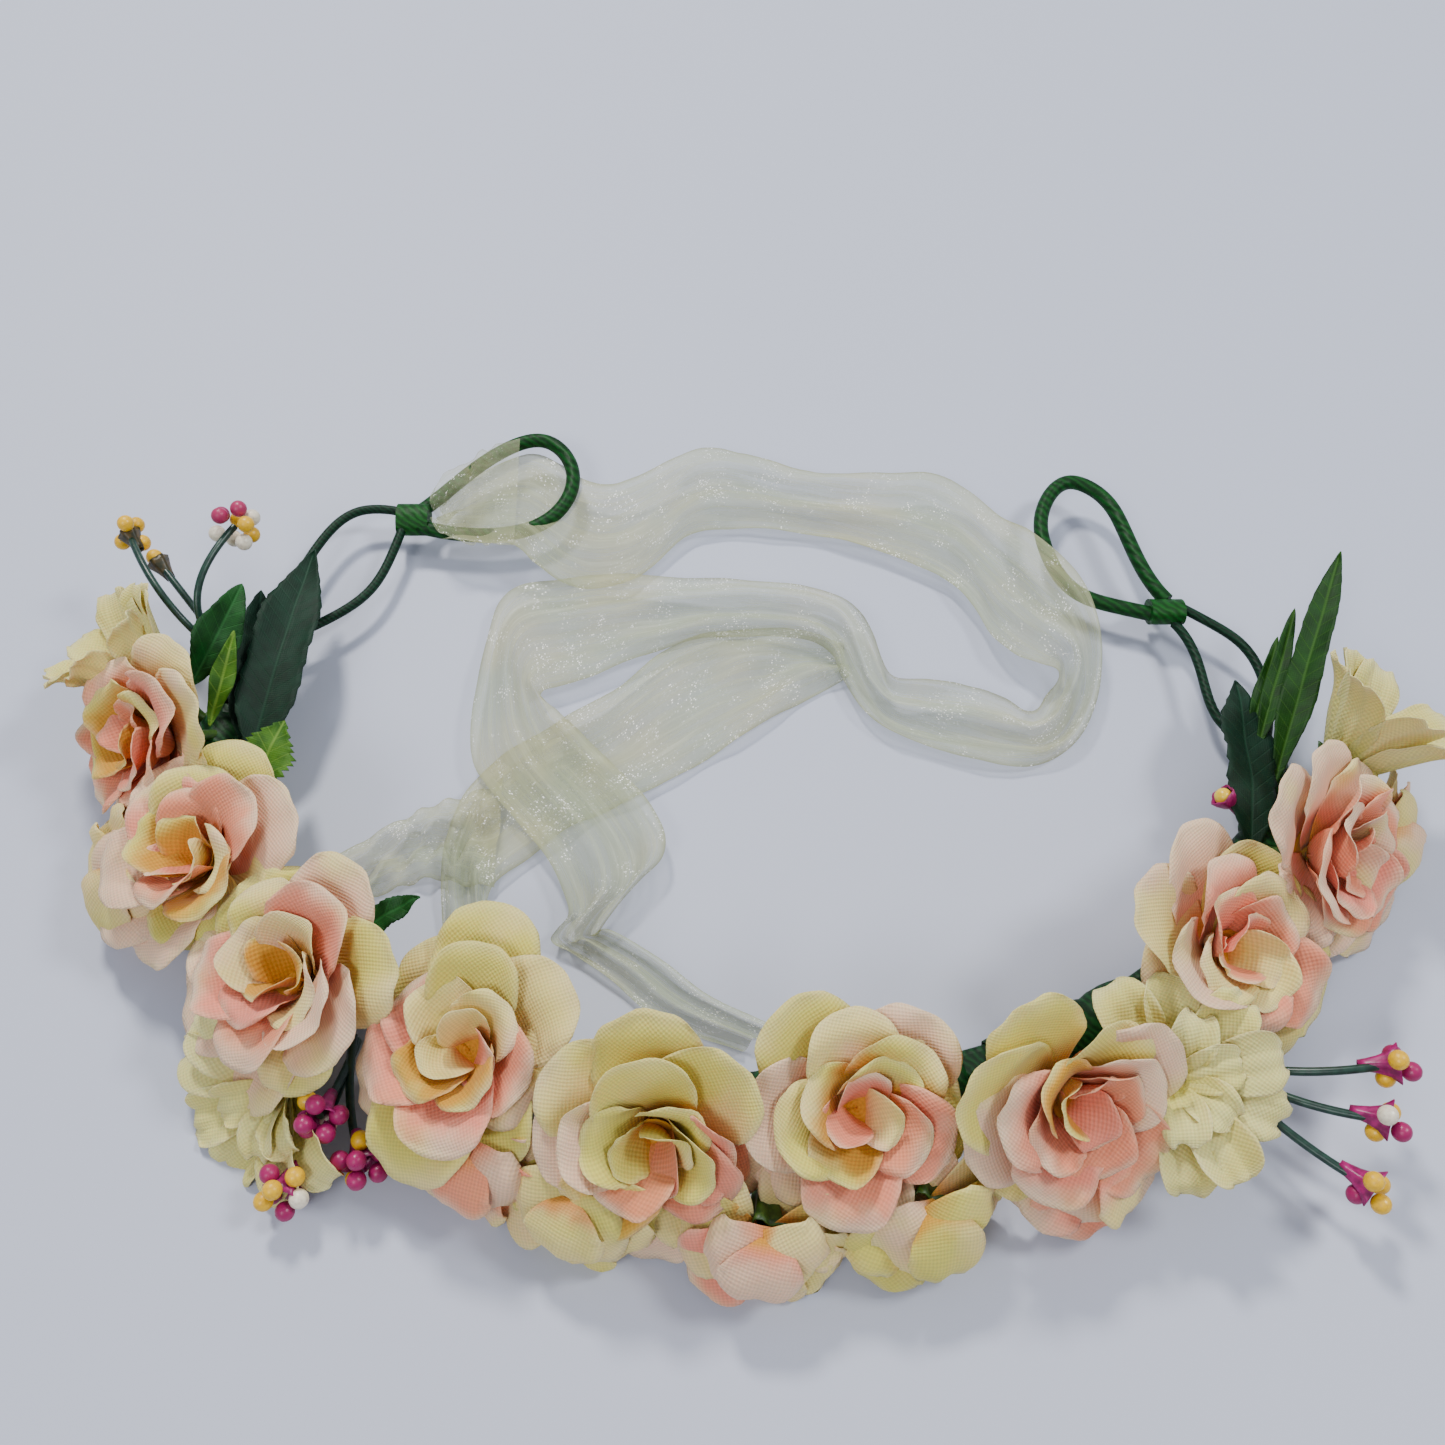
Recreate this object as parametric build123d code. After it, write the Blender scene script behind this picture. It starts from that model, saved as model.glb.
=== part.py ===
"""Flower crown: nine fabric roses on a wire band, with small blossoms, cosmos daisies, leaves and
berry picks, two bare wire tails that end in taped eyelets, and the organza ribbon that ties them.

Millimetres. +Z is up from the table the crown lies on, +Y is the open back where the ribbon ties,
and the origin is on the table in the middle of the head opening. One STEP is written per piece.
"""

import os
from math import cos, pi, radians, sin, sqrt

from build123d import *

# Wire band: two paper-covered strands on a flattened arc, taped together under the flowers.
BAND_CENTRE = (4.0, 5.0)
BAND_HALF_WIDTH = 118.0
BAND_HALF_DEPTH = 80.0
BAND_HEIGHT = 8.0
BAND_LEFT_END = 159.5
BAND_RIGHT_END = 359.0
STRAND_RADIUS = 1.15
STRAND_SPACING = 3.0
TAPE_THICKNESS = 0.5
FIT_GAP = 0.05
TAPE_TOP = BAND_HEIGHT + STRAND_RADIUS + TAPE_THICKNESS

# Eyelets: the same wire under thicker tape, looped beyond a taped binding.
EYELET_RADIUS = 1.8
BINDING_RADIUS = 4.2

# Rose heads, all cut from the same dies.
ROSE_RADIUS = 19.5
ROSE_HEAD_DEPTH = 12.0
ROSE_CUP_RADIUS = 12.0
PETAL_THICKNESS = 0.9
# Middle of each rose's face, and the band angle its stem is taped at.
ROSES = [
    ((-127.0, -3.5, 26.5), 178.0),
    ((-109.0, -30.5, 28.0), 204.0),
    ((-86.0, -58.0, 28.5), 225.3),
    ((-50.5, -71.5, 29.5), 245.0),
    ((-13.0, -87.0, 28.5), 263.0),
    ((25.0, -82.0, 29.5), 280.0),
    ((64.5, -79.8, 28.5), 298.3),
    ((101.2, -52.0, 28.5), 320.5),
    ((128.0, -32.5, 27.0), 340.5),
]

# Small blossoms under the roses: face middle and band angle.
BLOSSOM_RADIUS = 14.0
BLOSSOMS = [
    ((-127.0, -33.0, 13.2), 196.0),
    ((-52.0, -89.0, 13.2), 242.5),
    ((-25.0, -99.0, 13.2), 256.0),
    ((6.0, -104.5, 13.2), 271.0),
    ((37.0, -101.5, 13.2), 287.0),
    ((72.0, -95.0, 13.2), 304.0),
    ((143.0, -22.0, 13.2), 346.0),
]

# Cosmos daisies: name, face middle, band angle, petal reach.
DAISY_CUP = 5.0
DAISIES = [
    ("back_left", (-133.0, 22.0, 24.0), 168.0, 14.0),
    ("front_left", (-97.0, -80.5, 14.0), 226.0, 15.0),
    ("front_right", (87.0, -74.0, 22.5), 309.0, 20.0),
    ("back_right", (140.5, 1.5, 31.0), 353.5, 17.0),
]

# Berry picks: name, root on the band, and for each stem its way point, tip and bead count.
BEAD_RADIUS = 1.9
STEM_RADIUS = 0.85
BEAD_SPACING = 0.75
CLEAR_OF_STEM = 1.75
PICKS = [
    (
        "left",
        (-114.5, 27.0, 12.0),
        [
            ((-121.5, 29.0, 22.5), (-138.5, 52.0, 27.0), 4),
            ((-119.0, 30.5, 24.0), (-112.7, 51.0, 31.0), 10),
            ((-121.0, 34.0, 19.5), (-131.5, 46.0, 24.0), 1),
        ],
    ),
    (
        "right",
        (96.5, -65.5, 6.5),
        [
            ((107.0, -71.5, 14.0), (128.5, -72.5, 20.0), 4),
            ((106.0, -74.5, 11.5), (125.5, -82.5, 17.5), 4),
            ((104.0, -77.0, 9.5), (121.5, -94.0, 13.5), 4),
        ],
    ),
    (
        "front",
        (-74.5, -62.5, 6.5),
        [
            ((-75.5, -71.0, 9.0), (-77.0, -81.0, 15.0), 7),
            ((-77.5, -77.0, 6.0), (-84.0, -93.0, 7.5), 8),
            ((-74.0, -74.0, 6.5), (-69.5, -88.0, 9.0), 8),
        ],
    ),
]

# Leaves: name, then each blade's foot, tip, breadth, bow, roll about its own length and the band
# angle its stem is taped at.
LEAF_THICKNESS = 0.45
LEAF_STEM_RADIUS = 0.6
LEAVES = [
    ("dark_leaf_left", [((-99.5, 8.0, 12.5), (-97.5, 54.0, 15.5), 17.0, 3.0, 20.0, 176.0)]),
    ("light_leaf_left", [((-97.5, -12.0, 13.0), (-91.5, 5.0, 16.5), 11.0, 1.5, 0.0, 194.0)]),
    (
        "small_leaves_left",
        [
            ((-113.5, 17.0, 20.5), (-107.5, 36.0, 27.0), 8.0, 1.5, 35.0, 171.0),
            ((-75.5, -42.5, 13.0), (-63.5, -37.0, 17.5), 6.0, 0.8, 0.0, 222.0),
        ],
    ),
    ("lance_leaf_right", [((123.5, 9.5, 14.5), (143.0, 46.0, 26.0), 8.0, 1.5, -15.0, 356.0)]),
    (
        "blades_right",
        [
            ((118.5, 12.0, 13.0), (131.0, 35.0, 20.0), 3.6, 0.8, 0.0, 351.5),
            ((115.0, 12.5, 12.5), (122.0, 31.0, 17.5), 3.0, 0.6, 0.0, 349.0),
        ],
    ),
    ("dark_leaf_right", [((111.5, -20.0, 12.5), (114.5, 17.0, 14.5), 12.0, 2.0, 15.0, 342.0)]),
]

# Organza ribbon: pairs of points across it, in order from the left eyelet.
RIBBON_THICKNESS = 0.35
RIBBON = [
    ((-79.0, 64.0, 10.5), (-66.0, 93.0, 13.5)),
    ((-58.0, 61.0, 12.5), (-50.0, 96.0, 14.5)),
    ((-34.0, 60.0, 10.0), (-31.0, 90.0, 11.0)),
    ((-14.0, 64.0, 7.5), (-15.0, 92.0, 9.5)),
    ((8.0, 69.0, 6.0), (4.0, 95.0, 8.5)),
    ((36.0, 65.0, 6.0), (38.0, 88.0, 8.5)),
    ((58.0, 54.0, 8.0), (66.0, 80.0, 11.0)),
    ((68.0, 38.0, 10.5), (86.0, 58.0, 13.5)),
    ((69.0, 24.0, 7.0), (91.0, 26.0, 9.5)),
    ((66.0, 18.0, 5.0), (73.0, 3.0, 7.5)),
    ((54.0, 23.0, 5.0), (51.0, 7.5, 8.0)),
    ((42.0, 29.0, 4.5), (34.0, 19.0, 8.0)),
    ((28.0, 48.0, 4.0), (26.0, 22.0, 5.5)),
    ((8.0, 47.0, 3.0), (6.0, 15.0, 3.5)),
    ((-20.0, 38.0, 2.5), (-11.0, 6.0, 2.5)),
    ((-44.0, 22.0, 2.0), (-27.0, -9.0, 2.0)),
    ((-60.0, 0.0, 2.0), (-40.0, -23.0, 2.0)),
    ((-72.0, -12.0, 2.2), (-57.0, -33.0, 2.2)),
]


def band_point(angle, outward=0.0, height=BAND_HEIGHT):
    """Point on the band's arc, moved outward in plan and set at a height."""
    x = BAND_CENTRE[0] + (BAND_HALF_WIDTH + outward) * cos(radians(angle))
    y = BAND_CENTRE[1] + (BAND_HALF_DEPTH + outward) * sin(radians(angle))
    return Vector(x, y, height)


def band_arc(outward, start, end, height=BAND_HEIGHT):
    """The band's arc between two angles, moved outward in plan."""
    arc = EllipticalCenterArc(
        BAND_CENTRE,
        BAND_HALF_WIDTH + outward,
        BAND_HALF_DEPTH + outward,
        start_angle=start,
        arc_size=end - start,
    )
    return Pos(0, 0, height) * arc


def rod(path, radius):
    """A round rod along a path."""
    section = Plane(origin=path @ 0, z_dir=path % 0) * Circle(radius)
    return sweep(section, path=path)


def wire(points, radius):
    """A round rod along a smooth curve through points."""
    return rod(Spline(*points), radius)


def flower_plane(foot, face):
    """Plane at a flower's foot, looking along its stem towards the middle of its face."""
    axis = (face - foot).normalized()
    sideways = axis.cross(Vector(0, 0, 1)).normalized()
    return Plane(origin=foot, x_dir=sideways, z_dir=axis)


def petal_layer(lobes, radius, depth, base_radius, sag, thickness=PETAL_THICKNESS):
    """A die-cut layer of petals, dished: flat in the middle, rising to its lobed rim."""
    middle = ((base_radius + radius) / 2, depth / 2 - sag)
    lower = ThreePointArc((base_radius, 0), middle, (radius, depth))
    raised = (middle[0], middle[1] + thickness)
    upper = ThreePointArc((radius, depth + thickness), raised, (base_radius, thickness))
    section = make_face(
        [
            Line((0, 0), (base_radius, 0)),
            lower,
            Line((radius, depth), (radius, depth + thickness)),
            upper,
            Line((base_radius, thickness), (0, thickness)),
            Line((0, thickness), (0, 0)),
        ]
    )
    dish = revolve(Plane.XZ * section, Axis.Z)
    lobe_radius = radius * sin(pi / lobes) * 0.93
    lobe_reach = radius - lobe_radius
    outline = Circle(lobe_reach)
    for place in PolarLocations(lobe_reach, lobes):
        outline += place * Circle(lobe_radius)
    return dish & extrude(outline, depth + 2 * thickness)


def flower_room(radius, depth, base_radius, headroom):
    """The room a flower head fills, used to keep its neighbours' petals clear of it."""
    gap = 0.6
    section = make_face(
        Polyline(
            (0, -gap),
            (base_radius, -gap),
            ((base_radius + radius) / 2, depth * 0.22 - 2 * gap),
            (radius + gap, depth - gap),
            (radius + gap, depth + headroom),
            (0, depth + headroom),
            close=True,
        )
    )
    return revolve(Plane.XZ * section, Axis.Z)


def calyx(length, top_radius, cup_height, stem_radius=1.2):
    """A stem that widens into the small cup under a flower head."""
    section = make_face(
        Polyline(
            (0, 0),
            (stem_radius, 0),
            (stem_radius, length - cup_height),
            (top_radius, length - FIT_GAP),
            (0, length - FIT_GAP),
            close=True,
        )
    )
    return revolve(Plane.XZ * section, Axis.Z)


def bud(radius, height):
    """The rolled heart of a rose: a rounded cone."""
    flank = ThreePointArc((radius * 0.6, 0), (radius, height * 0.5), (radius * 0.35, height))
    section = make_face(
        [
            Line((0, 0), (radius * 0.6, 0)),
            flank,
            Line((radius * 0.35, height), (0, height)),
            Line((0, height), (0, 0)),
        ]
    )
    return revolve(Plane.XZ * section, Axis.Z)


def button(radius, height):
    """A low domed flower centre."""
    flat = radius * 0.3
    section = make_face(
        [
            Line((0, 0), (radius, 0)),
            ThreePointArc((radius, 0), (radius * 0.8, height * 0.7), (flat, height)),
            Line((flat, height), (0, height)),
            Line((0, height), (0, 0)),
        ]
    )
    return revolve(Plane.XZ * section, Axis.Z)


def blade(foot, tip, breadth, bow, roll):
    """A thin pointed leaf, bowed upward between its foot and its tip."""
    span = Vector(*tip) - foot
    length = span.length
    sheet = extrude(
        Plane.XZ
        * make_face(
            [
                ThreePointArc((0, 0), (length / 2, bow), (length, 0)),
                Line((length, 0), (length, LEAF_THICKNESS)),
                ThreePointArc(
                    (length, LEAF_THICKNESS),
                    (length / 2, bow + LEAF_THICKNESS),
                    (0, LEAF_THICKNESS),
                ),
                Line((0, LEAF_THICKNESS), (0, 0)),
            ]
        ),
        breadth,
        both=True,
    )
    widest = length * 0.42
    outline = make_face(
        [
            ThreePointArc((0, 0), (widest, breadth / 2), (length, 0)),
            ThreePointArc((length, 0), (widest, -breadth / 2), (0, 0)),
        ]
    )
    flat = Pos(0, 0, -1) * extrude(outline, bow + LEAF_THICKNESS + 2)
    across = Vector(0, 0, 1).cross(span)
    seat = Plane(origin=foot, x_dir=span, z_dir=span.cross(across))
    return seat.location * Rot(roll, 0, 0) * (sheet & flat)


def leaf(foot, tip, breadth, bow, roll, angle):
    """A blade fused to the short stem that tapes it to the band."""
    start = band_point(angle, height=TAPE_TOP + LEAF_STEM_RADIUS + 0.2)
    foot = Vector(*foot)
    stem = rod(Line(start, foot), LEAF_STEM_RADIUS)
    knuckle = Pos(*foot) * Sphere(LEAF_STEM_RADIUS + 0.1)
    return blade(foot, tip, breadth, bow, roll) + stem + knuckle


def cluster_spread(count):
    """How far the middles of clustered beads stand from their stem's tip."""
    return BEAD_RADIUS * max(BEAD_SPACING * sqrt(count), CLEAR_OF_STEM)


def bead_cluster(tip, along, count):
    """Beads packed round a stem's tip, none touching; one bead alone sits on the tip."""
    if count == 1:
        return [Pos(*(tip + along * (BEAD_RADIUS + FIT_GAP))) * Sphere(BEAD_RADIUS)]
    spread = cluster_spread(count)
    golden_angle = pi * (3 - sqrt(5))
    side = along.cross(Vector(0, 0, 1)).normalized()
    other = along.cross(side)
    beads = []
    for index in range(count):
        rise = 1 - 1.7 * (index + 0.5) / count
        rim = sqrt(1 - rise * rise)
        turn = golden_angle * index
        aim = along * rise + side * (rim * cos(turn)) + other * (rim * sin(turn))
        beads.append(Pos(*(tip + aim * spread)) * Sphere(BEAD_RADIUS))
    return beads


def pick_stem(root, way, tip, place):
    """The smooth curve of one stem of a pick; place -1, 0 or 1 fans the stems at their root."""
    shift = Vector(0, 0, 1.9 * place)
    return Spline(Vector(*root) + shift, Vector(*way) + shift * 0.3, Vector(*tip))


def stem_room(curve, count):
    """The room a berry stem sweeps when its pick is bent a little."""
    start = Plane(origin=curve @ 0.15, z_dir=curve % 0.15)
    room = sweep(start * Circle(3.8), path=curve.trim(0.15, 1))
    return room + Pos(*(curve @ 1)) * Sphere(cluster_spread(count) + BEAD_RADIUS + 3.5)


def largest(shape):
    """The biggest solid of a shape that trimming may have left in pieces."""
    return max(shape.solids(), key=lambda solid: solid.volume)


def trimmed(shape, rooms):
    """A flower layer cut back where its neighbours' heads lie."""
    box = shape.bounding_box()
    for room in rooms:
        other = room.bounding_box()
        apart = any(
            low > high
            for low, high in zip(tuple(box.min) + tuple(other.min), tuple(other.max) + tuple(box.max))
        )
        if not apart:
            shape = largest(shape - room)
    return shape


def ribbon_strip(edges):
    """A thin strip lofted across rectangular sections between pairs of edge points."""
    middles = [(Vector(*a) + Vector(*b)) / 2 for a, b in edges]
    sections = []
    for index, (first, second) in enumerate(edges):
        ahead = middles[min(index + 1, len(edges) - 1)] - middles[max(index - 1, 0)]
        across = Vector(*second) - Vector(*first)
        ahead = ahead - across * (ahead.dot(across) / across.dot(across))
        seat = Plane(origin=middles[index], x_dir=across, z_dir=ahead)
        sections.append(seat * Rectangle(across.length, RIBBON_THICKNESS))
    return loft(sections)


parts = {}

# Band: two strands side by side inside one tape wrap.
reach = STRAND_SPACING / 2
parts["band_wire_outer"] = rod(band_arc(reach, BAND_LEFT_END, BAND_RIGHT_END), STRAND_RADIUS)
parts["band_wire_inner"] = rod(band_arc(-reach, BAND_LEFT_END, BAND_RIGHT_END), STRAND_RADIUS)
tape_arc = band_arc(0, BAND_LEFT_END + 3, BAND_RIGHT_END - 3)
tape_start = Plane(origin=tape_arc @ 0, z_dir=tape_arc % 0, x_dir=(0, 0, 1))
bore = 2 * (STRAND_RADIUS + FIT_GAP)
wrap = bore + 2 * TAPE_THICKNESS
tape_section = RectangleRounded(wrap, wrap + STRAND_SPACING, wrap * 0.45)
tape_section -= RectangleRounded(bore, bore + STRAND_SPACING, bore * 0.45)
tape = sweep(tape_start * tape_section, path=tape_arc)
parts["band_tape"] = tape

# Tails: the two strands run on bare to a taped binding, and the loop beyond it is the eyelet.
left_out = [
    (-107.2, 36.5, 8),
    (-105.5, 47, 8.6),
    (-100.5, 64, 8.6),
    (-92, 75, 8.2),
    (-86, 75.8, 8),
    (-80.6, 74.6, 8),
]
left_in = [(-104.4, 35.7, 8), (-97, 40.5, 7.6), (-86.5, 50.5, 7.2), (-82.5, 61, 7.4), (-80.6, 69.4, 8)]
left_loop = [
    (-77.5, 74.3, 8),
    (-72, 79.5, 8.5),
    (-58, 94, 9),
    (-47, 98.3, 9),
    (-38.9, 89, 8.5),
    (-44.5, 72.5, 7.5),
    (-58, 68.3, 7),
    (-72, 69.3, 7.5),
    (-77.3, 70.4, 8),
]
right_out = [(123.9, 6.9, 8), (126.3, 19, 9), (123, 33.7, 9), (117.5, 39.5, 8.6), (111.5, 44.4, 8.2)]
right_in = [(120.7, 7.1, 8), (114.8, 12, 8), (112.8, 24, 7.8), (111.8, 33, 7.8), (108.6, 40.2, 8)]
right_loop = [
    (108, 46.8, 8.2),
    (105, 52, 8.5),
    (100.2, 70, 9),
    (96, 80, 9),
    (89, 84, 9),
    (81.5, 76, 8.5),
    (80.7, 62, 8),
    (86.5, 50, 7.5),
    (96, 45.4, 7.6),
    (104.6, 42.6, 8),
]
tails = [
    ("left", left_out, left_in, left_loop, (-78.0, 72.4, 8.0), 15.0),
    ("right", right_out, right_in, right_loop, (107.0, 43.5, 8.1), 140.0),
]
for side, outer_points, inner_points, loop_points, middle, heading in tails:
    outer = wire(outer_points, STRAND_RADIUS)
    inner = wire(inner_points, STRAND_RADIUS)
    loop = wire(loop_points, EYELET_RADIUS)
    collar_seat = Pos(*middle) * Rot(0, 90, heading)
    collar = collar_seat * extrude(Ellipse(BINDING_RADIUS * 0.72, BINDING_RADIUS), 4, both=True)
    collar -= wire(outer_points, STRAND_RADIUS + FIT_GAP)
    collar -= wire(inner_points, STRAND_RADIUS + FIT_GAP)
    collar -= wire(loop_points, EYELET_RADIUS + FIT_GAP)
    parts[side + "_tail_wire_outer"] = outer
    parts[side + "_tail_wire_inner"] = inner
    parts[side + "_eyelet"] = loop
    parts[side + "_binding"] = collar

parts["ribbon"] = ribbon_strip(RIBBON)

# Berry picks: fine stems from one root, with painted beads at their tips.
pick_rooms = []
for name, root, stems in PICKS:
    rods = []
    beads = []
    for index, (way, tip, count) in enumerate(stems):
        curve = pick_stem(root, way, tip, index - 1)
        rods.append(rod(curve, STEM_RADIUS))
        beads += bead_cluster(curve @ 1, curve % 1, count)
        pick_rooms.append(stem_room(curve, count))
    parts[name + "_pick_stems"] = Compound(children=rods)
    parts[name + "_pick_berries"] = Compound(children=beads)

# Roses: calyx, outer petals, inner petals and rolled heart, stacked along each stem.
outer_die = petal_layer(6, ROSE_RADIUS, 7.0, 3.5, 1.6)
inner_die = petal_layer(5, ROSE_CUP_RADIUS, 9.5, 3.0, 2.2)
heart = bud(4.6, 9.5)
rose_room = flower_room(ROSE_RADIUS, 7.0, 3.5, 9.0)
calyxes = []
hearts = []
rose_seats = []
for face, angle in ROSES:
    foot = band_point(angle, height=TAPE_TOP)
    stem = (Vector(*face) - foot).normalized()
    foot = foot + stem * 1.3
    length = (Vector(*face) - foot).length
    seat = flower_plane(foot, Vector(*face))
    head = seat.location * Pos(0, 0, length - ROSE_HEAD_DEPTH)
    calyxes.append(seat.location * calyx(length - ROSE_HEAD_DEPTH, 4.5, 4.0))
    hearts.append(head * Pos(0, 0, 2 * (PETAL_THICKNESS + FIT_GAP)) * heart)
    rose_seats.append(head)
rooms = [seat * rose_room for seat in rose_seats]
for index, seat in enumerate(rose_seats):
    outer = seat * Rot(0, 0, 23 * index) * outer_die
    inner = seat * Pos(0, 0, PETAL_THICKNESS + FIT_GAP) * Rot(0, 0, 41 * index) * inner_die
    if index % 2:
        beside = [rooms[index - 1], rooms[index + 1]]
        outer = trimmed(outer, beside)
        inner = trimmed(inner, beside)
    parts[f"rose_{index + 1}_outer_petals"] = outer
    parts[f"rose_{index + 1}_inner_petals"] = inner

# Small blossoms, tucked below the roses and facing outward.
blossom_die = petal_layer(5, BLOSSOM_RADIUS, 3.5, 2.5, 0.8, 0.7)
blossom_room = flower_room(BLOSSOM_RADIUS, 3.5, 2.5, 4.0)
blossom_button = button(2.4, 2.0)
buttons = []
blossom_calyxes = []
blossom_rooms = []
for index, (face, angle) in enumerate(BLOSSOMS):
    foot = band_point(angle, outward=STRAND_SPACING / 2 + 2.6, height=5.0)
    length = (Vector(*face) - foot).length
    seat = flower_plane(foot, Vector(*face)).location
    head = seat * Pos(0, 0, length - 3.5)
    petals = trimmed(head * Rot(0, 0, 31 * index) * blossom_die, rooms + pick_rooms + blossom_rooms)
    parts[f"blossom_{index + 1}_petals"] = petals
    blossom_calyxes.append(seat * calyx(length - 3.5, 2.6, 2.5, 1.0))
    buttons.append(head * Pos(0, 0, 0.7 + FIT_GAP) * blossom_button)
    blossom_rooms.append(head * blossom_room)

# Cosmos daisies, with a button centre over eight petals.
daisy_calyxes = []
daisy_rooms = []
for index, (name, face, angle, radius) in enumerate(DAISIES):
    foot = band_point(angle, outward=STRAND_SPACING / 2 + 3.0, height=9.0)
    length = (Vector(*face) - foot).length
    seat = flower_plane(foot, Vector(*face)).location
    head = seat * Pos(0, 0, length - DAISY_CUP)
    die = petal_layer(8, radius, DAISY_CUP, 2.8, 1.0, 0.7)
    room = head * flower_room(radius, DAISY_CUP, 2.8, 4.0)
    petals = trimmed(head * Rot(0, 0, 17 * index) * die, rooms + pick_rooms + blossom_rooms)
    parts[f"daisy_{name}_petals"] = petals
    daisy_calyxes.append(seat * calyx(length - DAISY_CUP, 3.0, 3.0, 1.1))
    buttons.append(head * Pos(0, 0, 0.7 + FIT_GAP) * button(2.7, 2.4))
    daisy_rooms.append(room)

parts["rose_calyxes"] = Compound(children=calyxes)
parts["rose_hearts"] = Compound(children=hearts)
parts["blossom_calyxes"] = Compound(children=blossom_calyxes)
parts["daisy_calyxes"] = Compound(children=daisy_calyxes)
parts["flower_centres"] = Compound(children=buttons)

# Leaves, trimmed clear of the flower heads.
for name, blades in LEAVES:
    pieces = [trimmed(leaf(*values), rooms + pick_rooms + daisy_rooms) for values in blades]
    parts[name] = Compound(children=pieces) if len(pieces) > 1 else pieces[0]

os.makedirs("parts", exist_ok=True)
for name, shape in parts.items():
    export_step(shape, f"parts/{name}.step")
print(len(parts), "parts written")
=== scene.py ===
"""Looks of the flower crown: fabric petals, leaves, organza ribbon, painted beads and taped wire."""

import math
import random

import bpy
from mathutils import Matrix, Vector, noise


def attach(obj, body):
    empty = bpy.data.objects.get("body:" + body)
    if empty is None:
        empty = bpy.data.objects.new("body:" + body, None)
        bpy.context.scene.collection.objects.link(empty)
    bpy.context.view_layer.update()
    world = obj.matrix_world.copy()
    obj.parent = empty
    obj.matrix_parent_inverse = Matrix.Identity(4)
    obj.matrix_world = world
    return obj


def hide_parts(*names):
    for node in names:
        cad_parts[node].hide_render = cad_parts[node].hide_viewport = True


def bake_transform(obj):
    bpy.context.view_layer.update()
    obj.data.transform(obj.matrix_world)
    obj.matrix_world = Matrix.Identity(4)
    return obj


MM = 0.001
UP = Vector((0, 0, 1))
# Thicknesses of petal cloth, of leaves, tape and calyxes, and of the cups on the picks.
CLOTH = 0.12
SHELL = 0.3
CUP_WALL = 0.25

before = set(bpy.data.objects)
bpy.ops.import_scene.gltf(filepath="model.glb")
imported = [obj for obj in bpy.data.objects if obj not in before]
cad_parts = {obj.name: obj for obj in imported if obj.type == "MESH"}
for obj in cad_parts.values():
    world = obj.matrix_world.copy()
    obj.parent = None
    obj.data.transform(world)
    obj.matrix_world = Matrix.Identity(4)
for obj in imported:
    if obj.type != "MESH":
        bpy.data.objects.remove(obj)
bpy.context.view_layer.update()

# The band's flattened arc, the top of its tape and the depth of a rose head, as in the CAD.
BAND_CENTRE = (4.0, 5.0)
BAND_HALF = (118.0, 80.0)
BAND_HEIGHT = 8.0
TAPE_TOP = 9.65
ROSE_HEAD_DEPTH = 12.0


def srgb(red, green, blue):
    """An 8-bit display colour as linear light."""
    linear = []
    for channel in (red, green, blue):
        value = channel / 255
        linear.append(value / 12.92 if value <= 0.04045 else ((value + 0.055) / 1.055) ** 2.4)
    return (*linear, 1.0)


def compass(bearing):
    """The level direction at a bearing, in degrees from +X."""
    turn = math.radians(bearing)
    return Vector((math.cos(turn), math.sin(turn), 0))


def outward_bearing(point):
    return math.degrees(math.atan2(point.y - BAND_CENTRE[1], point.x - BAND_CENTRE[0]))


def band_point(angle, outward=0.0, height=BAND_HEIGHT):
    """A point over the band at an angle round its arc, pushed outward from it."""
    turn = math.radians(angle)
    x = BAND_CENTRE[0] + (BAND_HALF[0] + outward) * math.cos(turn)
    y = BAND_CENTRE[1] + (BAND_HALF[1] + outward) * math.sin(turn)
    return Vector((x, y, height))


def smooth(low, high, value):
    t = min(1.0, max(0.0, (value - low) / (high - low)))
    return t * t * (3 - 2 * t)


def spline(points, t):
    """A point on the Catmull-Rom curve through points, at t from 0 to 1."""
    count = len(points) - 1
    place = min(max(t, 0.0), 1.0) * count
    index = min(int(place), count - 1)
    f = place - index
    p1 = Vector(points[index])
    p2 = Vector(points[index + 1])
    p0 = Vector(points[index - 1]) if index > 0 else p1 * 2 - p2
    p3 = Vector(points[index + 2]) if index + 2 <= count else p2 * 2 - p1
    return 0.5 * (
        2 * p1 + (p2 - p0) * f + (2 * p0 - 5 * p1 + 4 * p2 - p3) * f * f
        + (3 * p1 - p0 - 3 * p2 + p3) * f * f * f
    )


# ---- meshes


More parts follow.
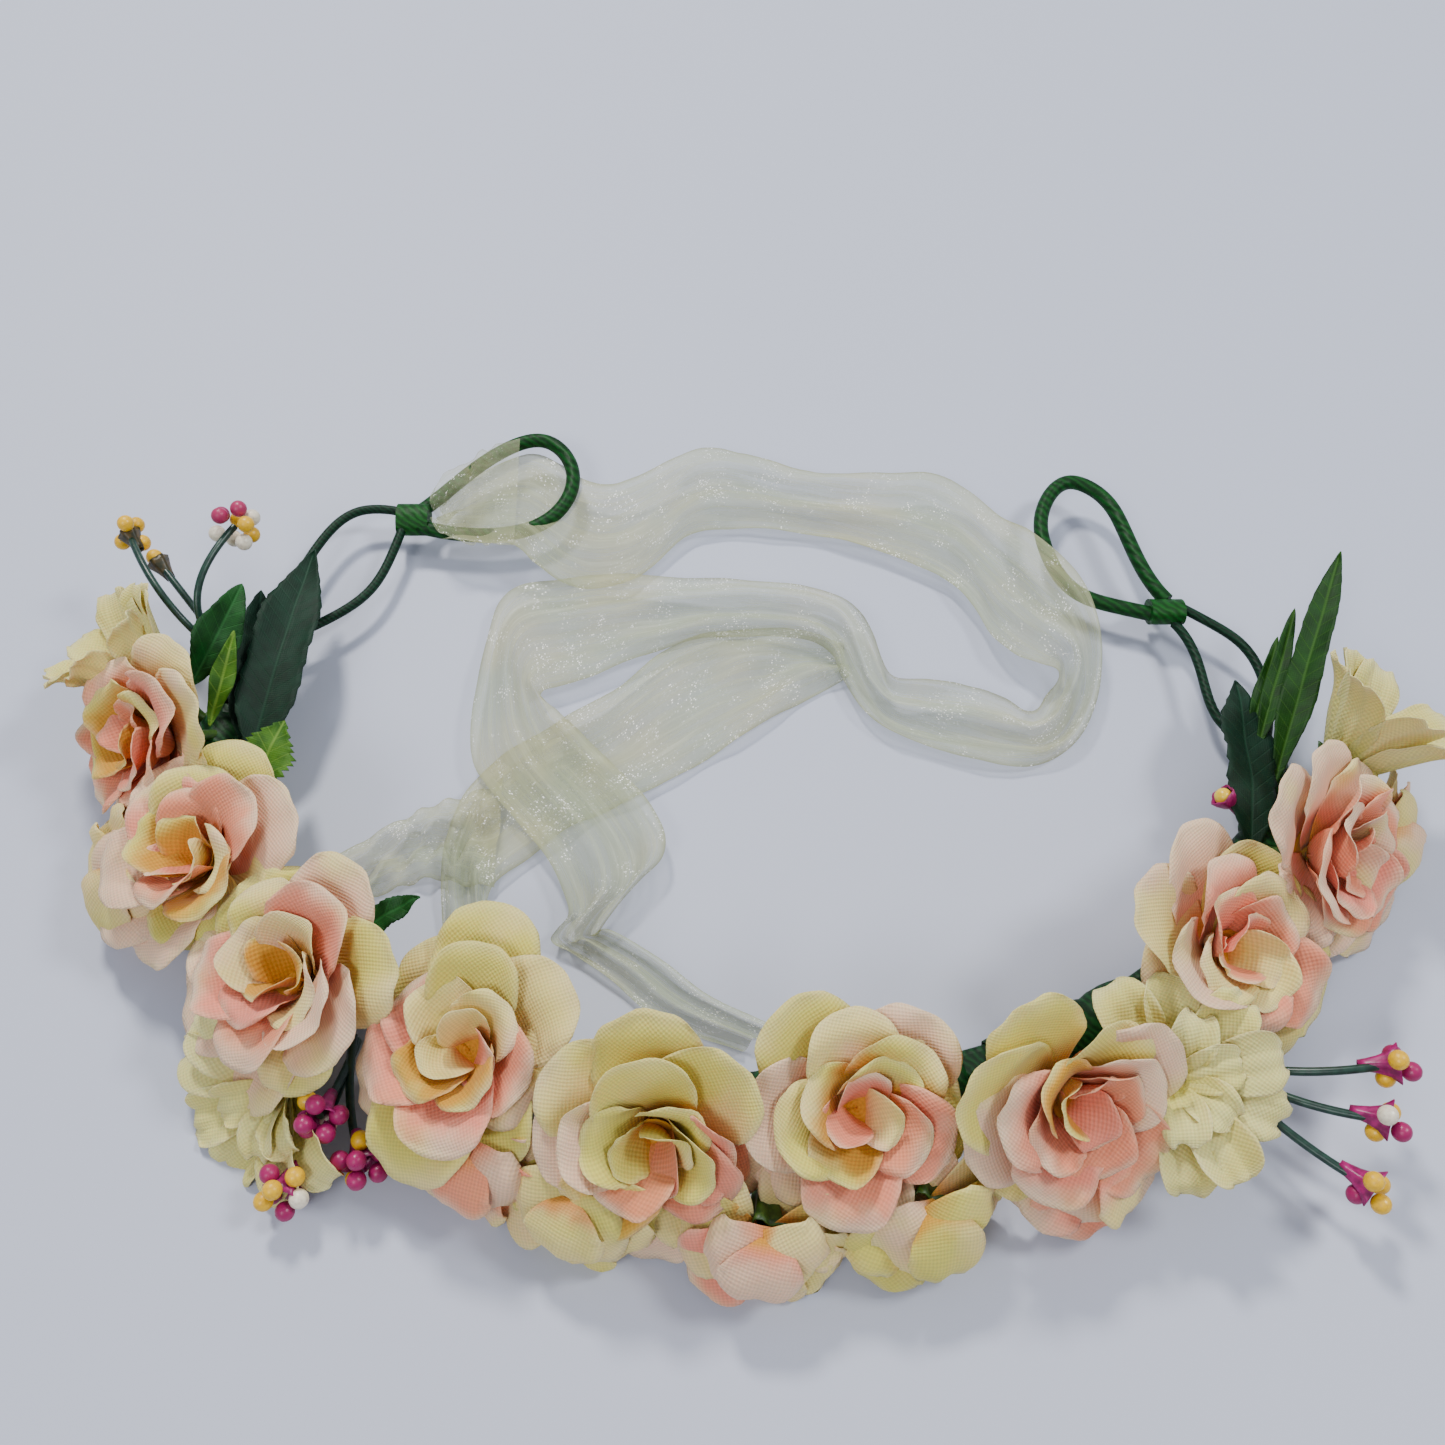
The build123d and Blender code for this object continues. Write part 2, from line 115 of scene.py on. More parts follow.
class Sheets:
    """Collects curved sheets of fabric, as grids of points in millimetres, into one mesh. A cell of
    a grid is its point, its place on the flat cloth and its petal data."""

    def __init__(self):
        self.points = []
        self.faces = []
        self.flat = []
        self.petal = []
        self.stain = []

    def add(self, rows, stain=(0, 0, 0, 1)):
        start = len(self.points)
        columns = len(rows[0])
        for row in rows:
            for point, flat, petal in row:
                self.points.append(point * MM)
                self.flat.append(flat)
                self.petal.append(petal)
                self.stain.append(stain)
        for i in range(len(rows) - 1):
            for j in range(columns - 1):
                corner = start + i * columns + j
                self.faces.append((corner, corner + 1, corner + columns + 1, corner + columns))

    def build(self, name, material, thickness=CLOTH):
        mesh = bpy.data.meshes.new(name)
        mesh.from_pydata(self.points, [], self.faces)
        mesh.materials.append(material)
        layer = mesh.uv_layers.new(name="weave")
        for loop in mesh.loops:
            layer.data[loop.index].uv = self.flat[loop.vertex_index]
        for label, values in (("petal", self.petal), ("stain", self.stain)):
            attribute = mesh.attributes.new(label, "FLOAT_COLOR", "POINT")
            for index, value in enumerate(values):
                attribute.data[index].color = value
        mesh.polygons.foreach_set("use_smooth", [True] * len(mesh.polygons))
        obj = bpy.data.objects.new(name, mesh)
        bpy.context.collection.objects.link(obj)
        if thickness:
            solid = obj.modifiers.new("thickness", "SOLIDIFY")
            solid.thickness = thickness * MM
            solid.offset = 0
        return obj


def add_piece(sheets, name, material, node=None, thickness=CLOTH, body="band"):
    """Builds a piece that rides on a body and, given a node, is seen in place of that CAD piece."""
    obj = sheets.build(name, material, thickness)
    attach(obj, body)
    if node:
        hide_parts(node)


class Seat:
    """A flower's own axes: out along its stem, sideways, and the third."""

    def __init__(self, foot, face):
        self.axis = (face - foot).normalized()
        self.side = self.axis.cross(UP).normalized()
        self.other = self.axis.cross(self.side)
        self.origin = foot

    def moved(self, along, tilt=0.0, towards=0.0):
        """The same seat further out, leaning by tilt towards a direction round its axis."""
        new = Seat.__new__(Seat)
        lean = self.side * math.cos(towards) + self.other * math.sin(towards)
        new.axis = (self.axis + lean * math.tan(tilt)).normalized()
        new.side = (self.side - new.axis * self.side.dot(new.axis)).normalized()
        new.other = new.axis.cross(new.side)
        new.origin = self.origin + self.axis * along
        return new

    def turn_to(self, bearing):
        """The turn round the axis that looks along a compass bearing, in degrees from +X."""
        way = compass(bearing)
        return math.atan2(way.dot(self.other), way.dot(self.side))


def petal_half(u, widest, root, shoulder):
    """Half-breadth of a petal at u of its length, as a share of its widest."""
    if u < widest:
        return root + (1 - root) * math.sin(math.pi / 2 * u / widest)
    return 1 - (1 - shoulder) * ((u - widest) / (1 - widest)) ** 2


def add_petal(sheets, seat, turn, profile, half_width, rng, dye, style):
    """One petal: a rounded sheet swept along a profile of (radius, height) points.

    dye is (paleness, gold reach, flush reach, odd)."""
    rows = []
    cup = style["cup"]
    row_count, column_count = style["grid"]
    roll = style["roll"]
    phase = rng.uniform(0, 6.28)
    weave_turn = rng.uniform(0, math.pi)
    seed = rng.uniform(0, 500)
    shade = rng.random()
    slope = rng.uniform(-0.3, 0.3)
    fold_side, fold = rng.choice((-1, 1)), rng.uniform(0.0, style["fold"])
    line = [(x, y, 0) for x, y in profile]
    length = sum((spline(line, k / 12) - spline(line, (k + 1) / 12)).length for k in range(12))
    ray = seat.side * math.cos(turn) + seat.other * math.sin(turn)
    beside = seat.other * math.cos(turn) - seat.side * math.sin(turn)
    cosine, sine = math.cos(weave_turn), math.sin(weave_turn)
    for i in range(row_count):
        u = i / (row_count - 1)
        half = half_width * petal_half(u, style["widest"], style["root"], style["shoulder"])
        row = []
        for j in range(column_count):
            v = math.sin(math.pi / 2 * (2 * j / (column_count - 1) - 1)) * 0.35
            v += 0.65 * (2 * j / (column_count - 1) - 1)
            s = v * half
            jag = noise.noise(Vector((s * 0.3 + seed, u * 3, seed))) * style["ragged"]
            bite = style["notch"] * (0.5 + 0.5 * math.cos(6.3 * v + phase * 0.15))
            tip = half_width * 0.97
            drop = tip - math.sqrt(max(0.0, tip * tip - (v * half) ** 2))
            along = u - u**4 * (drop + bite - jag) / length
            here = spline(line, along)
            ahead = (spline(line, along + 0.02) - spline(line, along - 0.02)).normalized()
            bend = s / cup
            lateral = cup * math.sin(bend)
            rim = smooth(0.6, 1.0, max(abs(v) * smooth(0.25, 0.6, u), u))
            lift = cup * (1 - math.cos(bend)) - style["curl"] * rim * rim
            lift += style["ruffle"] * math.sin(2.2 * math.pi * v + phase) * u * u
            ripple = noise.noise(Vector((s * 0.13 + seed, length * u * 0.13, seed)))
            lift += ripple * 1.1 * smooth(0.1, 0.5, u)
            lift += s * math.sin(roll) - fold * smooth(0.3, 1.0, v * fold_side) * smooth(0.3, 0.8, u)
            dents = math.exp(-((v - 0.3) / 0.1) ** 2) + math.exp(-((v + 0.3) / 0.1) ** 2)
            lift -= style["grooves"] * dents
            radial = here.x - ahead.y * lift
            height = here.y + ahead.x * lift
            point = seat.origin + ray * radial + beside * lateral * math.cos(roll) + seat.axis * height
            reach = length * along
            flat = (s * cosine - reach * sine, s * sine + reach * cosine)
            patch = noise.noise(Vector((s * 0.09 + seed, reach * 0.09, seed)))
            paleness = min(1.0, max(0.0, dye[0] + slope * v + patch * 0.5))
            border = smooth(0.8, 1.0, max(abs(v) * smooth(0.1, 0.5, u), u))
            row.append((point, flat, (along, border, paleness, shade)))
        rows.append(row)
    sheets.add(rows, (dye[1], dye[2], dye[3], 1.0))


def add_tube(sheets, points, radii, flat_by=1.0, sides=16, lobes=0, lobe_depth=0.0):
    """A tube of rings along points; flat_by squeezes it upwards, lobes wave its rim."""
    rows = []
    length = 0.0
    for i, (point, radius) in enumerate(zip(points, radii)):
        before = Vector(points[max(0, i - 1)])
        after = Vector(points[min(len(points) - 1, i + 1)])
        ahead = (after - before).normalized()
        side = ahead.cross(UP) if abs(ahead.z) < 0.99 else Vector((1, 0, 0))
        side.normalize()
        over = side.cross(ahead)
        length += (Vector(point) - before).length if i else 0.0
        row = []
        for j in range(sides + 1):
            turn = 2 * math.pi * j / sides - math.pi / 2
            rim = i / (len(points) - 1)
            reach = radius * (1 + lobe_depth * rim * math.cos(lobes * turn))
            beside = Vector(point) + side * reach * math.cos(turn)
            outside = beside + over * reach * flat_by * math.sin(turn)
            row.append((outside, (turn * radius, length), (rim, 0.0, 0.5, 0.5)))
        rows.append(row)
    sheets.add(rows)


# ---- materials


class Look:
    """A procedural material and short ways to add its nodes."""

    def __init__(self, name):
        self.material = bpy.data.materials.new(name)
        self.material.use_nodes = True
        self.tree = self.material.node_tree
        self.tree.nodes.clear()
        self.out = self.tree.nodes.new("ShaderNodeOutputMaterial")

    def put(self, socket, value):
        if isinstance(value, bpy.types.NodeSocket):
            self.tree.links.new(value, socket)
        else:
            socket.default_value = value

    def node(self, kind, settings=None, **inputs):
        made = self.tree.nodes.new("ShaderNode" + kind)
        for key, value in (settings or {}).items():
            setattr(made, key, value)
        for key, value in inputs.items():
            self.put(made.inputs[key.replace("_", " ")], value)
        return made

    def math(self, operation, first, second=0.0):
        made = self.tree.nodes.new("ShaderNodeMath")
        made.operation = operation
        self.put(made.inputs[0], first)
        self.put(made.inputs[1], second)
        return made.outputs[0]

    def fade(self, value, start, end, low=0.0, high=1.0):
        made = self.tree.nodes.new("ShaderNodeMapRange")
        made.interpolation_type = "SMOOTHSTEP"
        for index, item in enumerate((value, start, end, low, high)):
            self.put(made.inputs[index], item)
        return made.outputs[0]

    def mix(self, share, first, second):
        made = self.tree.nodes.new("ShaderNodeMix")
        made.data_type = "RGBA"
        for index, item in ((0, share), (6, first), (7, second)):
            self.put(made.inputs[index], item)
        return made.outputs[2]

    def channels(self, attribute):
        source = self.node("Attribute", {"attribute_name": attribute})
        split = self.node("SeparateColor", Color=source.outputs["Color"])
        return [*split.outputs[:3], source.outputs["Alpha"]]

    def noise(self, scale, detail=2.0, vector=None, rough=0.5):
        made = self.node("TexNoise", Scale=scale, Detail=detail, Roughness=rough)
        if vector is None:
            vector = self.node("TexCoord").outputs["Object"]
        self.put(made.inputs["Vector"], vector)
        return made.outputs["Fac"]

    def weave(self, pitch):
        """Height of a plain weave over the flat fabric, threads pitch mm apart."""
        flat = self.node("UVMap", {"uv_map": "weave"}).outputs["UV"]
        scale = math.pi / 10 / pitch
        threads = []
        for direction in ("X", "Y"):
            wave = self.node("TexWave", {"bands_direction": direction}, Scale=scale)
            self.put(wave.inputs["Vector"], flat)
            self.put(wave.inputs["Distortion"], 0.6)
            self.put(wave.inputs["Detail Scale"], 0.3)
            threads.append(wave.outputs["Fac"])
        return self.math("MULTIPLY", self.math("ADD", threads[0], threads[1]), 0.5)

    def bump(self, height, depth, strength=1.0):
        made = self.node("Bump", Height=height, Distance=depth * MM, Strength=strength)
        return made.outputs["Normal"]

    def finish(self, color, roughness, normal=None, **more):
        surface = self.node("BsdfPrincipled", Base_Color=color, Roughness=roughness, **more)
        if normal is not None:
            self.put(surface.inputs["Normal"], normal)
        self.tree.links.new(surface.outputs[0], self.out.inputs["Surface"])
        return self.material


YELLOW = srgb(222, 206, 96)
CREAM = srgb(238, 212, 134)
PALE_PINK = srgb(240, 194, 160)
PINK = srgb(240, 132, 110)
PEACH = srgb(240, 142, 98)
GOLD = srgb(212, 146, 34)


def petal_look(name, yellow=YELLOW, cream=CREAM, blush=PALE_PINK, pink=PINK, peach=PEACH, gold=GOLD):
    """Dyed petal fabric: golden at the root, flushed in the middle, pale towards its edge, with a painted
    highlight along its rim.
    """
    look = Look(name)
    along, border, paleness, shade = look.channels("petal")
    gold_reach, flush_reach, odd, _ = look.channels("stain")
    bleed = look.math("MULTIPLY", look.math("SUBTRACT", look.noise(150, 3), 0.5), 0.5)
    place = look.math("ADD", along, bleed)
    pale = look.mix(look.fade(look.math("ADD", paleness, bleed), 0.0, 0.5), yellow, cream)
    pale = look.mix(look.fade(look.math("ADD", paleness, bleed), 0.5, 1.0), pale, blush)
    warm = look.mix(odd, pink, peach)
    near = look.math("SUBTRACT", flush_reach, 0.4)
    flush = look.fade(place, near, flush_reach, 0.92, 0.0)
    color = look.mix(flush, pale, warm)
    root = look.fade(place, look.math("SUBTRACT", gold_reach, 0.35), gold_reach, 0.95, 0.0)
    color = look.mix(root, color, gold)
    # Painted highlight: a narrow strip along each petal's rim is lightened towards pale cream.
    color = look.mix(look.math("MULTIPLY", border, 0.25), color, srgb(250, 236, 196))
    weave = look.weave(0.7)
    thread = look.fade(weave, 0.1, 0.9, 0.86, 1.05)
    tone = look.math("MULTIPLY", thread, look.fade(shade, 0.0, 1.0, 0.93, 1.04))
    toned = look.node("VectorMath", {"operation": "SCALE"})
    look.put(toned.inputs[0], color)
    look.put(toned.inputs["Scale"], tone)
    return look.finish(
        toned.outputs[0], 0.85, look.bump(weave, 0.12, 0.8),
        Subsurface_Weight=0.12, Subsurface_Scale=2.0 * MM, Sheen_Weight=0.08,
    )


def leaf_look(name, dark, light, vein):
    """Coated leaf cloth with a midrib and side veins."""
    look = Look(name)
    flat = look.node("UVMap", {"uv_map": "weave"}).outputs["UV"]
    split = look.node("SeparateXYZ", Vector=flat)
    side = look.math("ABSOLUTE", split.outputs[0])
    slanted = look.math("SUBTRACT", split.outputs[1], look.math("MULTIPLY", side, 0.9))
    wave = look.math("SINE", look.math("MULTIPLY", slanted, 1.9))
    side_vein = look.fade(wave, 0.86, 1.0)
    midrib = look.fade(side, 0.15, 0.5, 1.0, 0.0)
    veins = look.math("MAXIMUM", midrib, look.math("MULTIPLY", side_vein, 0.55))
    mottled = look.mix(look.fade(look.noise(260, 3), 0.3, 0.7), dark, light)
    color = look.mix(look.math("MULTIPLY", veins, 0.6), mottled, vein)
    threads = look.math("MULTIPLY", look.weave(0.5), 0.35)
    height = look.math("SUBTRACT", threads, look.math("MULTIPLY", veins, 1.0))
    return look.finish(color, 0.6, look.bump(height, 0.12, 0.8), Specular_IOR_Level=0.25)


def tape_look(name, dark, light, pitch, stretch=1.0):
    """Crepe floral tape or paper wound round wire: fine wrinkles and waxy sheen."""
    look = Look(name)
    where = look.node("TexCoord").outputs["Object"]
    wrinkle = look.noise(900, 4, where, 0.65)
    wave = look.node("TexWave", {"bands_direction": "DIAGONAL"}, Scale=314 / pitch, Distortion=4.0)
    look.put(wave.inputs["Vector"], where)
    look.put(wave.inputs["Detail"], 2.0)
    ridge = look.math("ADD", look.math("MULTIPLY", wave.outputs["Fac"], 0.6), wrinkle)
    color = look.mix(look.fade(ridge, 0.5, 1.2), dark, light)
    return look.finish(color, 0.5, look.bump(ridge, 0.12 * stretch, 0.6), Specular_IOR_Level=0.2)


def plastic_look(name, low, high, roughness=0.45):
    look = Look(name)
    grain = look.noise(700, 3)
    color = look.mix(look.fade(grain, 0.3, 0.7), low, high)
    return look.finish(color, roughness, look.bump(grain, 0.05, 0.5))


def bead_look(name, yellow, magenta, white, yellow_side=-1.0):
    """Lacquered stamen beads: each solid takes one of the colours, by the given shares, and all
    are yellow left of yellow_side."""
    look = Look(name)
    geometry = look.node("NewGeometry")
    place = look.node("SeparateXYZ", Vector=geometry.outputs["Position"]).outputs[0]
    left_of = look.math("LESS_THAN", place, yellow_side)
    chance = geometry.outputs["Random Per Island"]
    pick = look.math("MULTIPLY", chance, look.math("SUBTRACT", 1.0, left_of))
    ramp = look.node("ValToRGB")
    look.put(ramp.inputs[0], pick)
    ramp.color_ramp.interpolation = "CONSTANT"
    elements = ramp.color_ramp.elements
    elements[0].color = srgb(240, 188, 2)
    elements[1].color = srgb(160, 18, 92)
    elements[1].position = yellow
    elements.new(yellow + magenta).color = srgb(240, 232, 208)
    elements.new(yellow + magenta + white).color = srgb(172, 44, 92)
    grain = look.noise(1600, 3)
    color = look.mix(look.fade(grain, 0.35, 0.75, 0.0, 0.25), ramp.outputs[0], srgb(120, 40, 60))
    return look.finish(color, look.fade(grain, 0.2, 0.8, 0.25, 0.5), look.bump(grain, 0.1, 0.6))


def organza_look(name):
    """Sheer shimmering organza: see-through cloth with painted glints, white and faintly glowing, where it
    creases.
    """
    look = Look(name)
    flat = look.node("UVMap", {"uv_map": "weave"}).outputs["UV"]
    where = look.node("TexCoord").outputs["Object"]
    _, border, _, sheer = look.channels("petal")
    long_way = look.node("Mapping", Vector=flat, Scale=(0.5, 0.03, 1.0))
    streak = look.noise(1.0, 3, long_way.outputs["Vector"], 0.6)
    patch = look.noise(45, 3, where)
    # Painted glints: white specks where the cloth crinkles, made nearly opaque and given a faint glow.
    grain = look.node("TexVoronoi", {"feature": "F1"}, Vector=flat, Scale=1.9)
    chance = look.node("SeparateColor", Color=grain.outputs["Color"]).outputs[0]
    crinkle = look.fade(look.noise(120, 4, where, 0.7), 0.47, 0.62)
    glint = look.math("MULTIPLY", look.fade(chance, 0.55, 0.75), crinkle)
    glint = look.math("MULTIPLY", glint, look.fade(grain.outputs["Distance"], 0.2, 0.55, 1.0, 0.0))
    cloth = look.mix(look.fade(patch, 0.35, 0.7), srgb(172, 182, 140), srgb(188, 186, 132))
    # Lengthwise streaks stand for the crinkled folds: the lighter colour along them is painted sheen, and
    # they also change how much the cloth covers.
    cloth = look.mix(look.fade(streak, 0.55, 0.8, 0.0, 0.5), cloth, srgb(226, 228, 204))
    cloth = look.mix(look.math("MULTIPLY", border, 0.7), cloth, srgb(128, 132, 96))
    color = look.mix(glint, cloth, (1.0, 0.99, 0.92, 1.0))
    facing = look.node("LayerWeight", Blend=0.3).outputs["Facing"]
    cover = look.fade(facing, 0.0, 0.9, 0.44, 0.78)
    cover = look.math("ADD", cover, look.math("MULTIPLY", border, 0.35))
    cover = look.math("ADD", cover, look.fade(streak, 0.3, 0.75, -0.1, 0.14))
    cover = look.math("MULTIPLY", cover, look.math("SUBTRACT", 1.0, sheer))
    alpha = look.math("MAXIMUM", cover, look.math("MULTIPLY", glint, 0.95))
    rough = look.fade(glint, 0.0, 1.0, 0.55, 0.25)
    threads = look.weave(0.4)
    # The glints' emission makes them glow faintly: a painted reflection, not a lamp.
    return look.finish(
        color, rough, look.bump(threads, 0.04, 0.5), Alpha=alpha, Sheen_Weight=0.2,
        Emission_Color=(1.0, 0.99, 0.93, 1.0), Emission_Strength=look.math("MULTIPLY", glint, 0.5),
    )


petal_cloth = petal_look("petal_cloth")
daisy_cloth = petal_look(
    "daisy_cloth", srgb(222, 208, 118), srgb(228, 216, 138), srgb(232, 222, 160),
    srgb(206, 196, 92), srgb(196, 190, 84), srgb(98, 104, 22),
)
dark_leaf = leaf_look("dark_leaf_cloth", srgb(6, 34, 20), srgb(10, 46, 30), srgb(22, 62, 42))
green_leaf = leaf_look("green_leaf_cloth", srgb(44, 88, 16), srgb(76, 122, 28), srgb(120, 156, 60))
glossy_leaf = leaf_look("glossy_leaf_cloth", srgb(4, 54, 12), srgb(10, 74, 20), srgb(30, 96, 40))
lance_leaf = leaf_look("lance_leaf_cloth", srgb(12, 50, 4), srgb(20, 66, 8), srgb(52, 96, 20))
organza = organza_look("organza_cloth")
calyx_plastic = plastic_look("calyx_plastic", srgb(30, 62, 12), srgb(58, 92, 22))

# ---- roses

# A layer of petals: the profile they are swept along, half the breadth of one, the radius it is
# cupped to, and how it rolls, curls, ruffles, frays, folds and droops. step raises each petal, and
# widest, root and shoulder shape its outline.
PETAL = {
    "grid": (17, 15), "widest": 0.6, "root": 0.25, "shoulder": 0.76, "notch": 0.0, "fold": 0.0,
    "grooves": 0.0, "step": 0.3,
}
OUTER = {
    **PETAL,
    "line": [(2.0, 0.0), (7.5, 2.2), (13.0, 5.2), (18.0, 7.2), (22.0, 7.4)], "half": 11.4, "cup": 24.0,
    "roll": 0.1, "curl": 1.6, "ruffle": 0.4, "ragged": 0.3, "fold": 2.2, "droop": 5.0, "step": 0.35,
}
MIDDLE = {
    **PETAL,
    "line": [(2.0, 0.8), (5.6, 4.2), (9.8, 8.4), (13.6, 11.2), (16.4, 12.0)], "half": 10.4, "cup": 12.5,
    "roll": 0.14, "curl": 1.4, "ruffle": 0.4, "ragged": 0.25, "fold": 1.6, "droop": 1.5, "shoulder": 0.84,
}
INNER = {
    **PETAL,
    "line": [(1.8, 1.4), (4.4, 5.2), (7.4, 9.0), (10.2, 11.8), (12.2, 12.6)], "half": 8.6, "cup": 8.2,
    "roll": 0.2, "curl": 1.2, "ruffle": 0.35, "ragged": 0.4, "fold": 0.8, "root": 0.35, "shoulder": 0.86,
}
HEART = {
    **PETAL,
    "line": [(1.2, 2.0), (2.8, 5.2), (4.6, 8.8), (6.4, 11.4), (7.4, 12.2)], "half": 6.4, "cup": 5.2,
    "roll": 0.3, "curl": 0.8, "ruffle": 0.3, "ragged": 0.5, "root": 0.5, "step": 0.1, "shoulder": 0.88,
}

# Dyes of a petal: paleness at the edge (0 yellow, 1 pink), reach of the golden root, reach of
# the pink flush.
DYES = {
    "y": (0.05, 0.42, 0.0),
    "c": (0.50, 0.34, 0.34),
    "p": (1.00, 0.26, 0.55),
    "s": (0.95, 0.30, 1.02),
    "g": (0.15, 0.95, 0.0),
    "d": (0.30, 0.20, 0.40),
}

# Face middle, band angle, outer petals and middle petals as bearing and dye, dyes of the heart,
# which way and how far the heart leans, and how far the petals beside the rose before and the
# rose after are raised.
ROSES = [
    ((-127.0, -3.5, 26.5), 178.0, "100p 50c 12c 325c 280p 240p 200p 150y",
     "150s 85s 15s 215s 290s", "ssg", 150, 0.12, 0, -3),
    ((-109.0, -30.5, 28.0), 204.0, "60y 110p 155p 200p 240p 275y 320c 10p",
     "75y 120s 190p 20s 300g", "gsc", 200, 0.06, 2, -3),
    ((-86.0, -58.0, 28.5), 225.3, "105y 150p 195p 235p 280y 320p 5y 50p",
     "90c 40s 185s 245s 310p", "gcs", 110, 0.06, 2, 2),
    ((-50.5, -71.5, 29.5), 245.0, "105y 65y 20c 160c 200p 240y 285y 330c",
     "130s 70y 195s 260s 325s", "scg", 320, 0.08, -3, -3),
    ((-13.5, -91.0, 28.0), 263.0, "90y 130c 180p 228y 262p 295c 320p 352s 45y",
     "85y 345s 310s 160p 235g", "gsy", 280, 0.06, 2, -3),
    ((25.5, -86.5, 28.5), 280.0, "118y 65p 175p 212p 240c 272p 305p 338y 25c",
     "100c 50g 190y 265s 335s", "csg", 90, 0.06, 2, -3),
    ((65.5, -85.5, 27.5), 298.3, "118y 150y 192p 226y 268p 308y 345y 55p",
     "85y 30p 180s 250s 318s", "sgs", 60, 0.1, 2, 1),
    ((101.2, -52.0, 28.5), 320.5, "120p 68y 165c 212p 255p 300y 335y 15y",
     "115s 55c 335s 275s 200p", "scs", 330, 0.1, -4, 2),
    ((128.0, -32.5, 27.0), 340.5, "150p 115p 78p 40y 0c 320p 275p 230p",
     "110s 40s 330s 265s 190s", "ssp", 340, 0.1, -3, 0),
]


def jittered(line, stretch, lift):
    """A petal profile, longer or shorter and raised or lowered towards its tip."""
    last = len(line) - 1
    return [
        (x * (1 + (stretch - 1) * i / last), y + lift * (i / last) ** 1.5)
        for i, (x, y) in enumerate(line)
    ]


def add_ring(sheets, seat, rng, petals, layer, lean=None):
    """A ring of petals given as (bearing, dye). With lean, the petals before and behind the band
    are longer, and those in front hang lower."""
    for index, (bearing, letter) in enumerate(petals):
        stretch, rise = rng.uniform(0.96, 1.04), rng.uniform(-0.9, 0.9)
        if lean is not None:
            facing = math.cos(math.radians(bearing - lean))
            beside = math.sin(math.radians(bearing - lean))
            lift = layer["lifts"][1 if beside > 0 else 0]
            stretch += 0.22 * facing**2 + 0.08 * max(0.0, facing) - 0.02 + min(0, lift) * 0.02 * abs(beside)
            rise += lift * beside * beside - layer["droop"] * facing
        profile = jittered(layer["line"], stretch, rise)
        own = dict(layer)
        own["roll"] = layer["roll"] + rng.uniform(-0.08, 0.08)
        own["curl"] = layer["curl"] * rng.uniform(0.3, 1.5)
        pale, gold, flush = DYES[letter]
        dye = (pale, gold * rng.uniform(0.85, 1.15), flush * rng.uniform(0.85, 1.15), rng.random())
        place = seat.moved((index * 3 % len(petals)) * layer["step"])
        turn = seat.turn_to(bearing + rng.uniform(-5, 5))
        half_width = layer["half"] * rng.uniform(0.94, 1.06)
        add_petal(sheets, place, turn, profile, half_width, rng, dye, own)


def listed(text):
    return [(float(word[:-1]), word[-1]) for word in text.split()]


def spread(count, start, letters, rng):
    return [(start + 360 * i / count + rng.uniform(-6, 6), rng.choice(letters)) for i in range(count)]


def add_well(sheets, seat, radius, height, dish):
    """The closed golden bottom of a flower's hollow heart, a shallow dish."""
    rows = []
    for i in range(5):
        reach = radius * max(0.001, i / 4)
        row = []
        for j in range(17):
            turn = 2 * math.pi * j / 16
            ray = seat.side * math.cos(turn) + seat.other * math.sin(turn)
            point = seat.origin + ray * reach + seat.axis * (height + dish * reach * reach)
            row.append((point, (reach, j * 0.3), (0.0, 0.0, 0.0, 0.3)))
        rows.append(row)
    sheets.add(rows, (1.0, 0.0, 0.0, 1.0))


# How far up its stem a rose starts, and how its middle and heart stand off the outer petals.
ROSE_FOOT = 1.3
MIDDLE_STANDOFF = 0.8
HEART_STANDOFF = 0.3
HEART_TILT = 0.12

hearts = Sheets()
for number, rose in enumerate(ROSES, 1):
    face, angle, outer_petals, middle_petals, dyes, bearing, lean, *lifts = rose
    rng = random.Random(400 + number)
    foot = band_point(angle, height=TAPE_TOP)
    stem = (Vector(face) - foot).normalized()
    foot = foot + stem * ROSE_FOOT
    length = (Vector(face) - foot).length
    seat = Seat(foot, Vector(face)).moved(length - ROSE_HEAD_DEPTH)
    outward = outward_bearing(foot)

    outer = Sheets()
    add_ring(outer, seat, rng, listed(outer_petals), {**OUTER, "lifts": lifts}, outward)
    add_piece(outer, f"rose_{number}_outer_cloth", petal_cloth, f"rose_{number}_outer_petals")

    inner = Sheets()
    off = seat.turn_to(bearing)
    leaning = seat.moved(MIDDLE_STANDOFF, lean, off)
    layer = {**MIDDLE, "lifts": [lift * 0.5 for lift in lifts]}
    add_ring(inner, leaning, rng, listed(middle_petals), layer, outward)
    add_ring(inner, leaning, rng, spread(4, rng.uniform(0, 90), dyes, rng), INNER)
    add_piece(inner, f"rose_{number}_inner_cloth", petal_cloth, f"rose_{number}_inner_petals")

    leaning = leaning.moved(HEART_STANDOFF, HEART_TILT, off)
    add_ring(hearts, leaning, rng, spread(3, bearing, dyes, rng), HEART)
    add_well(hearts, leaning, 4.4, 2.8, 0.12)
    add_well(hearts, seat, 6.5, 0.8, 0.03)

add_piece(hearts, "rose_hearts_cloth", petal_cloth, "rose_hearts")

# ---- small blossoms

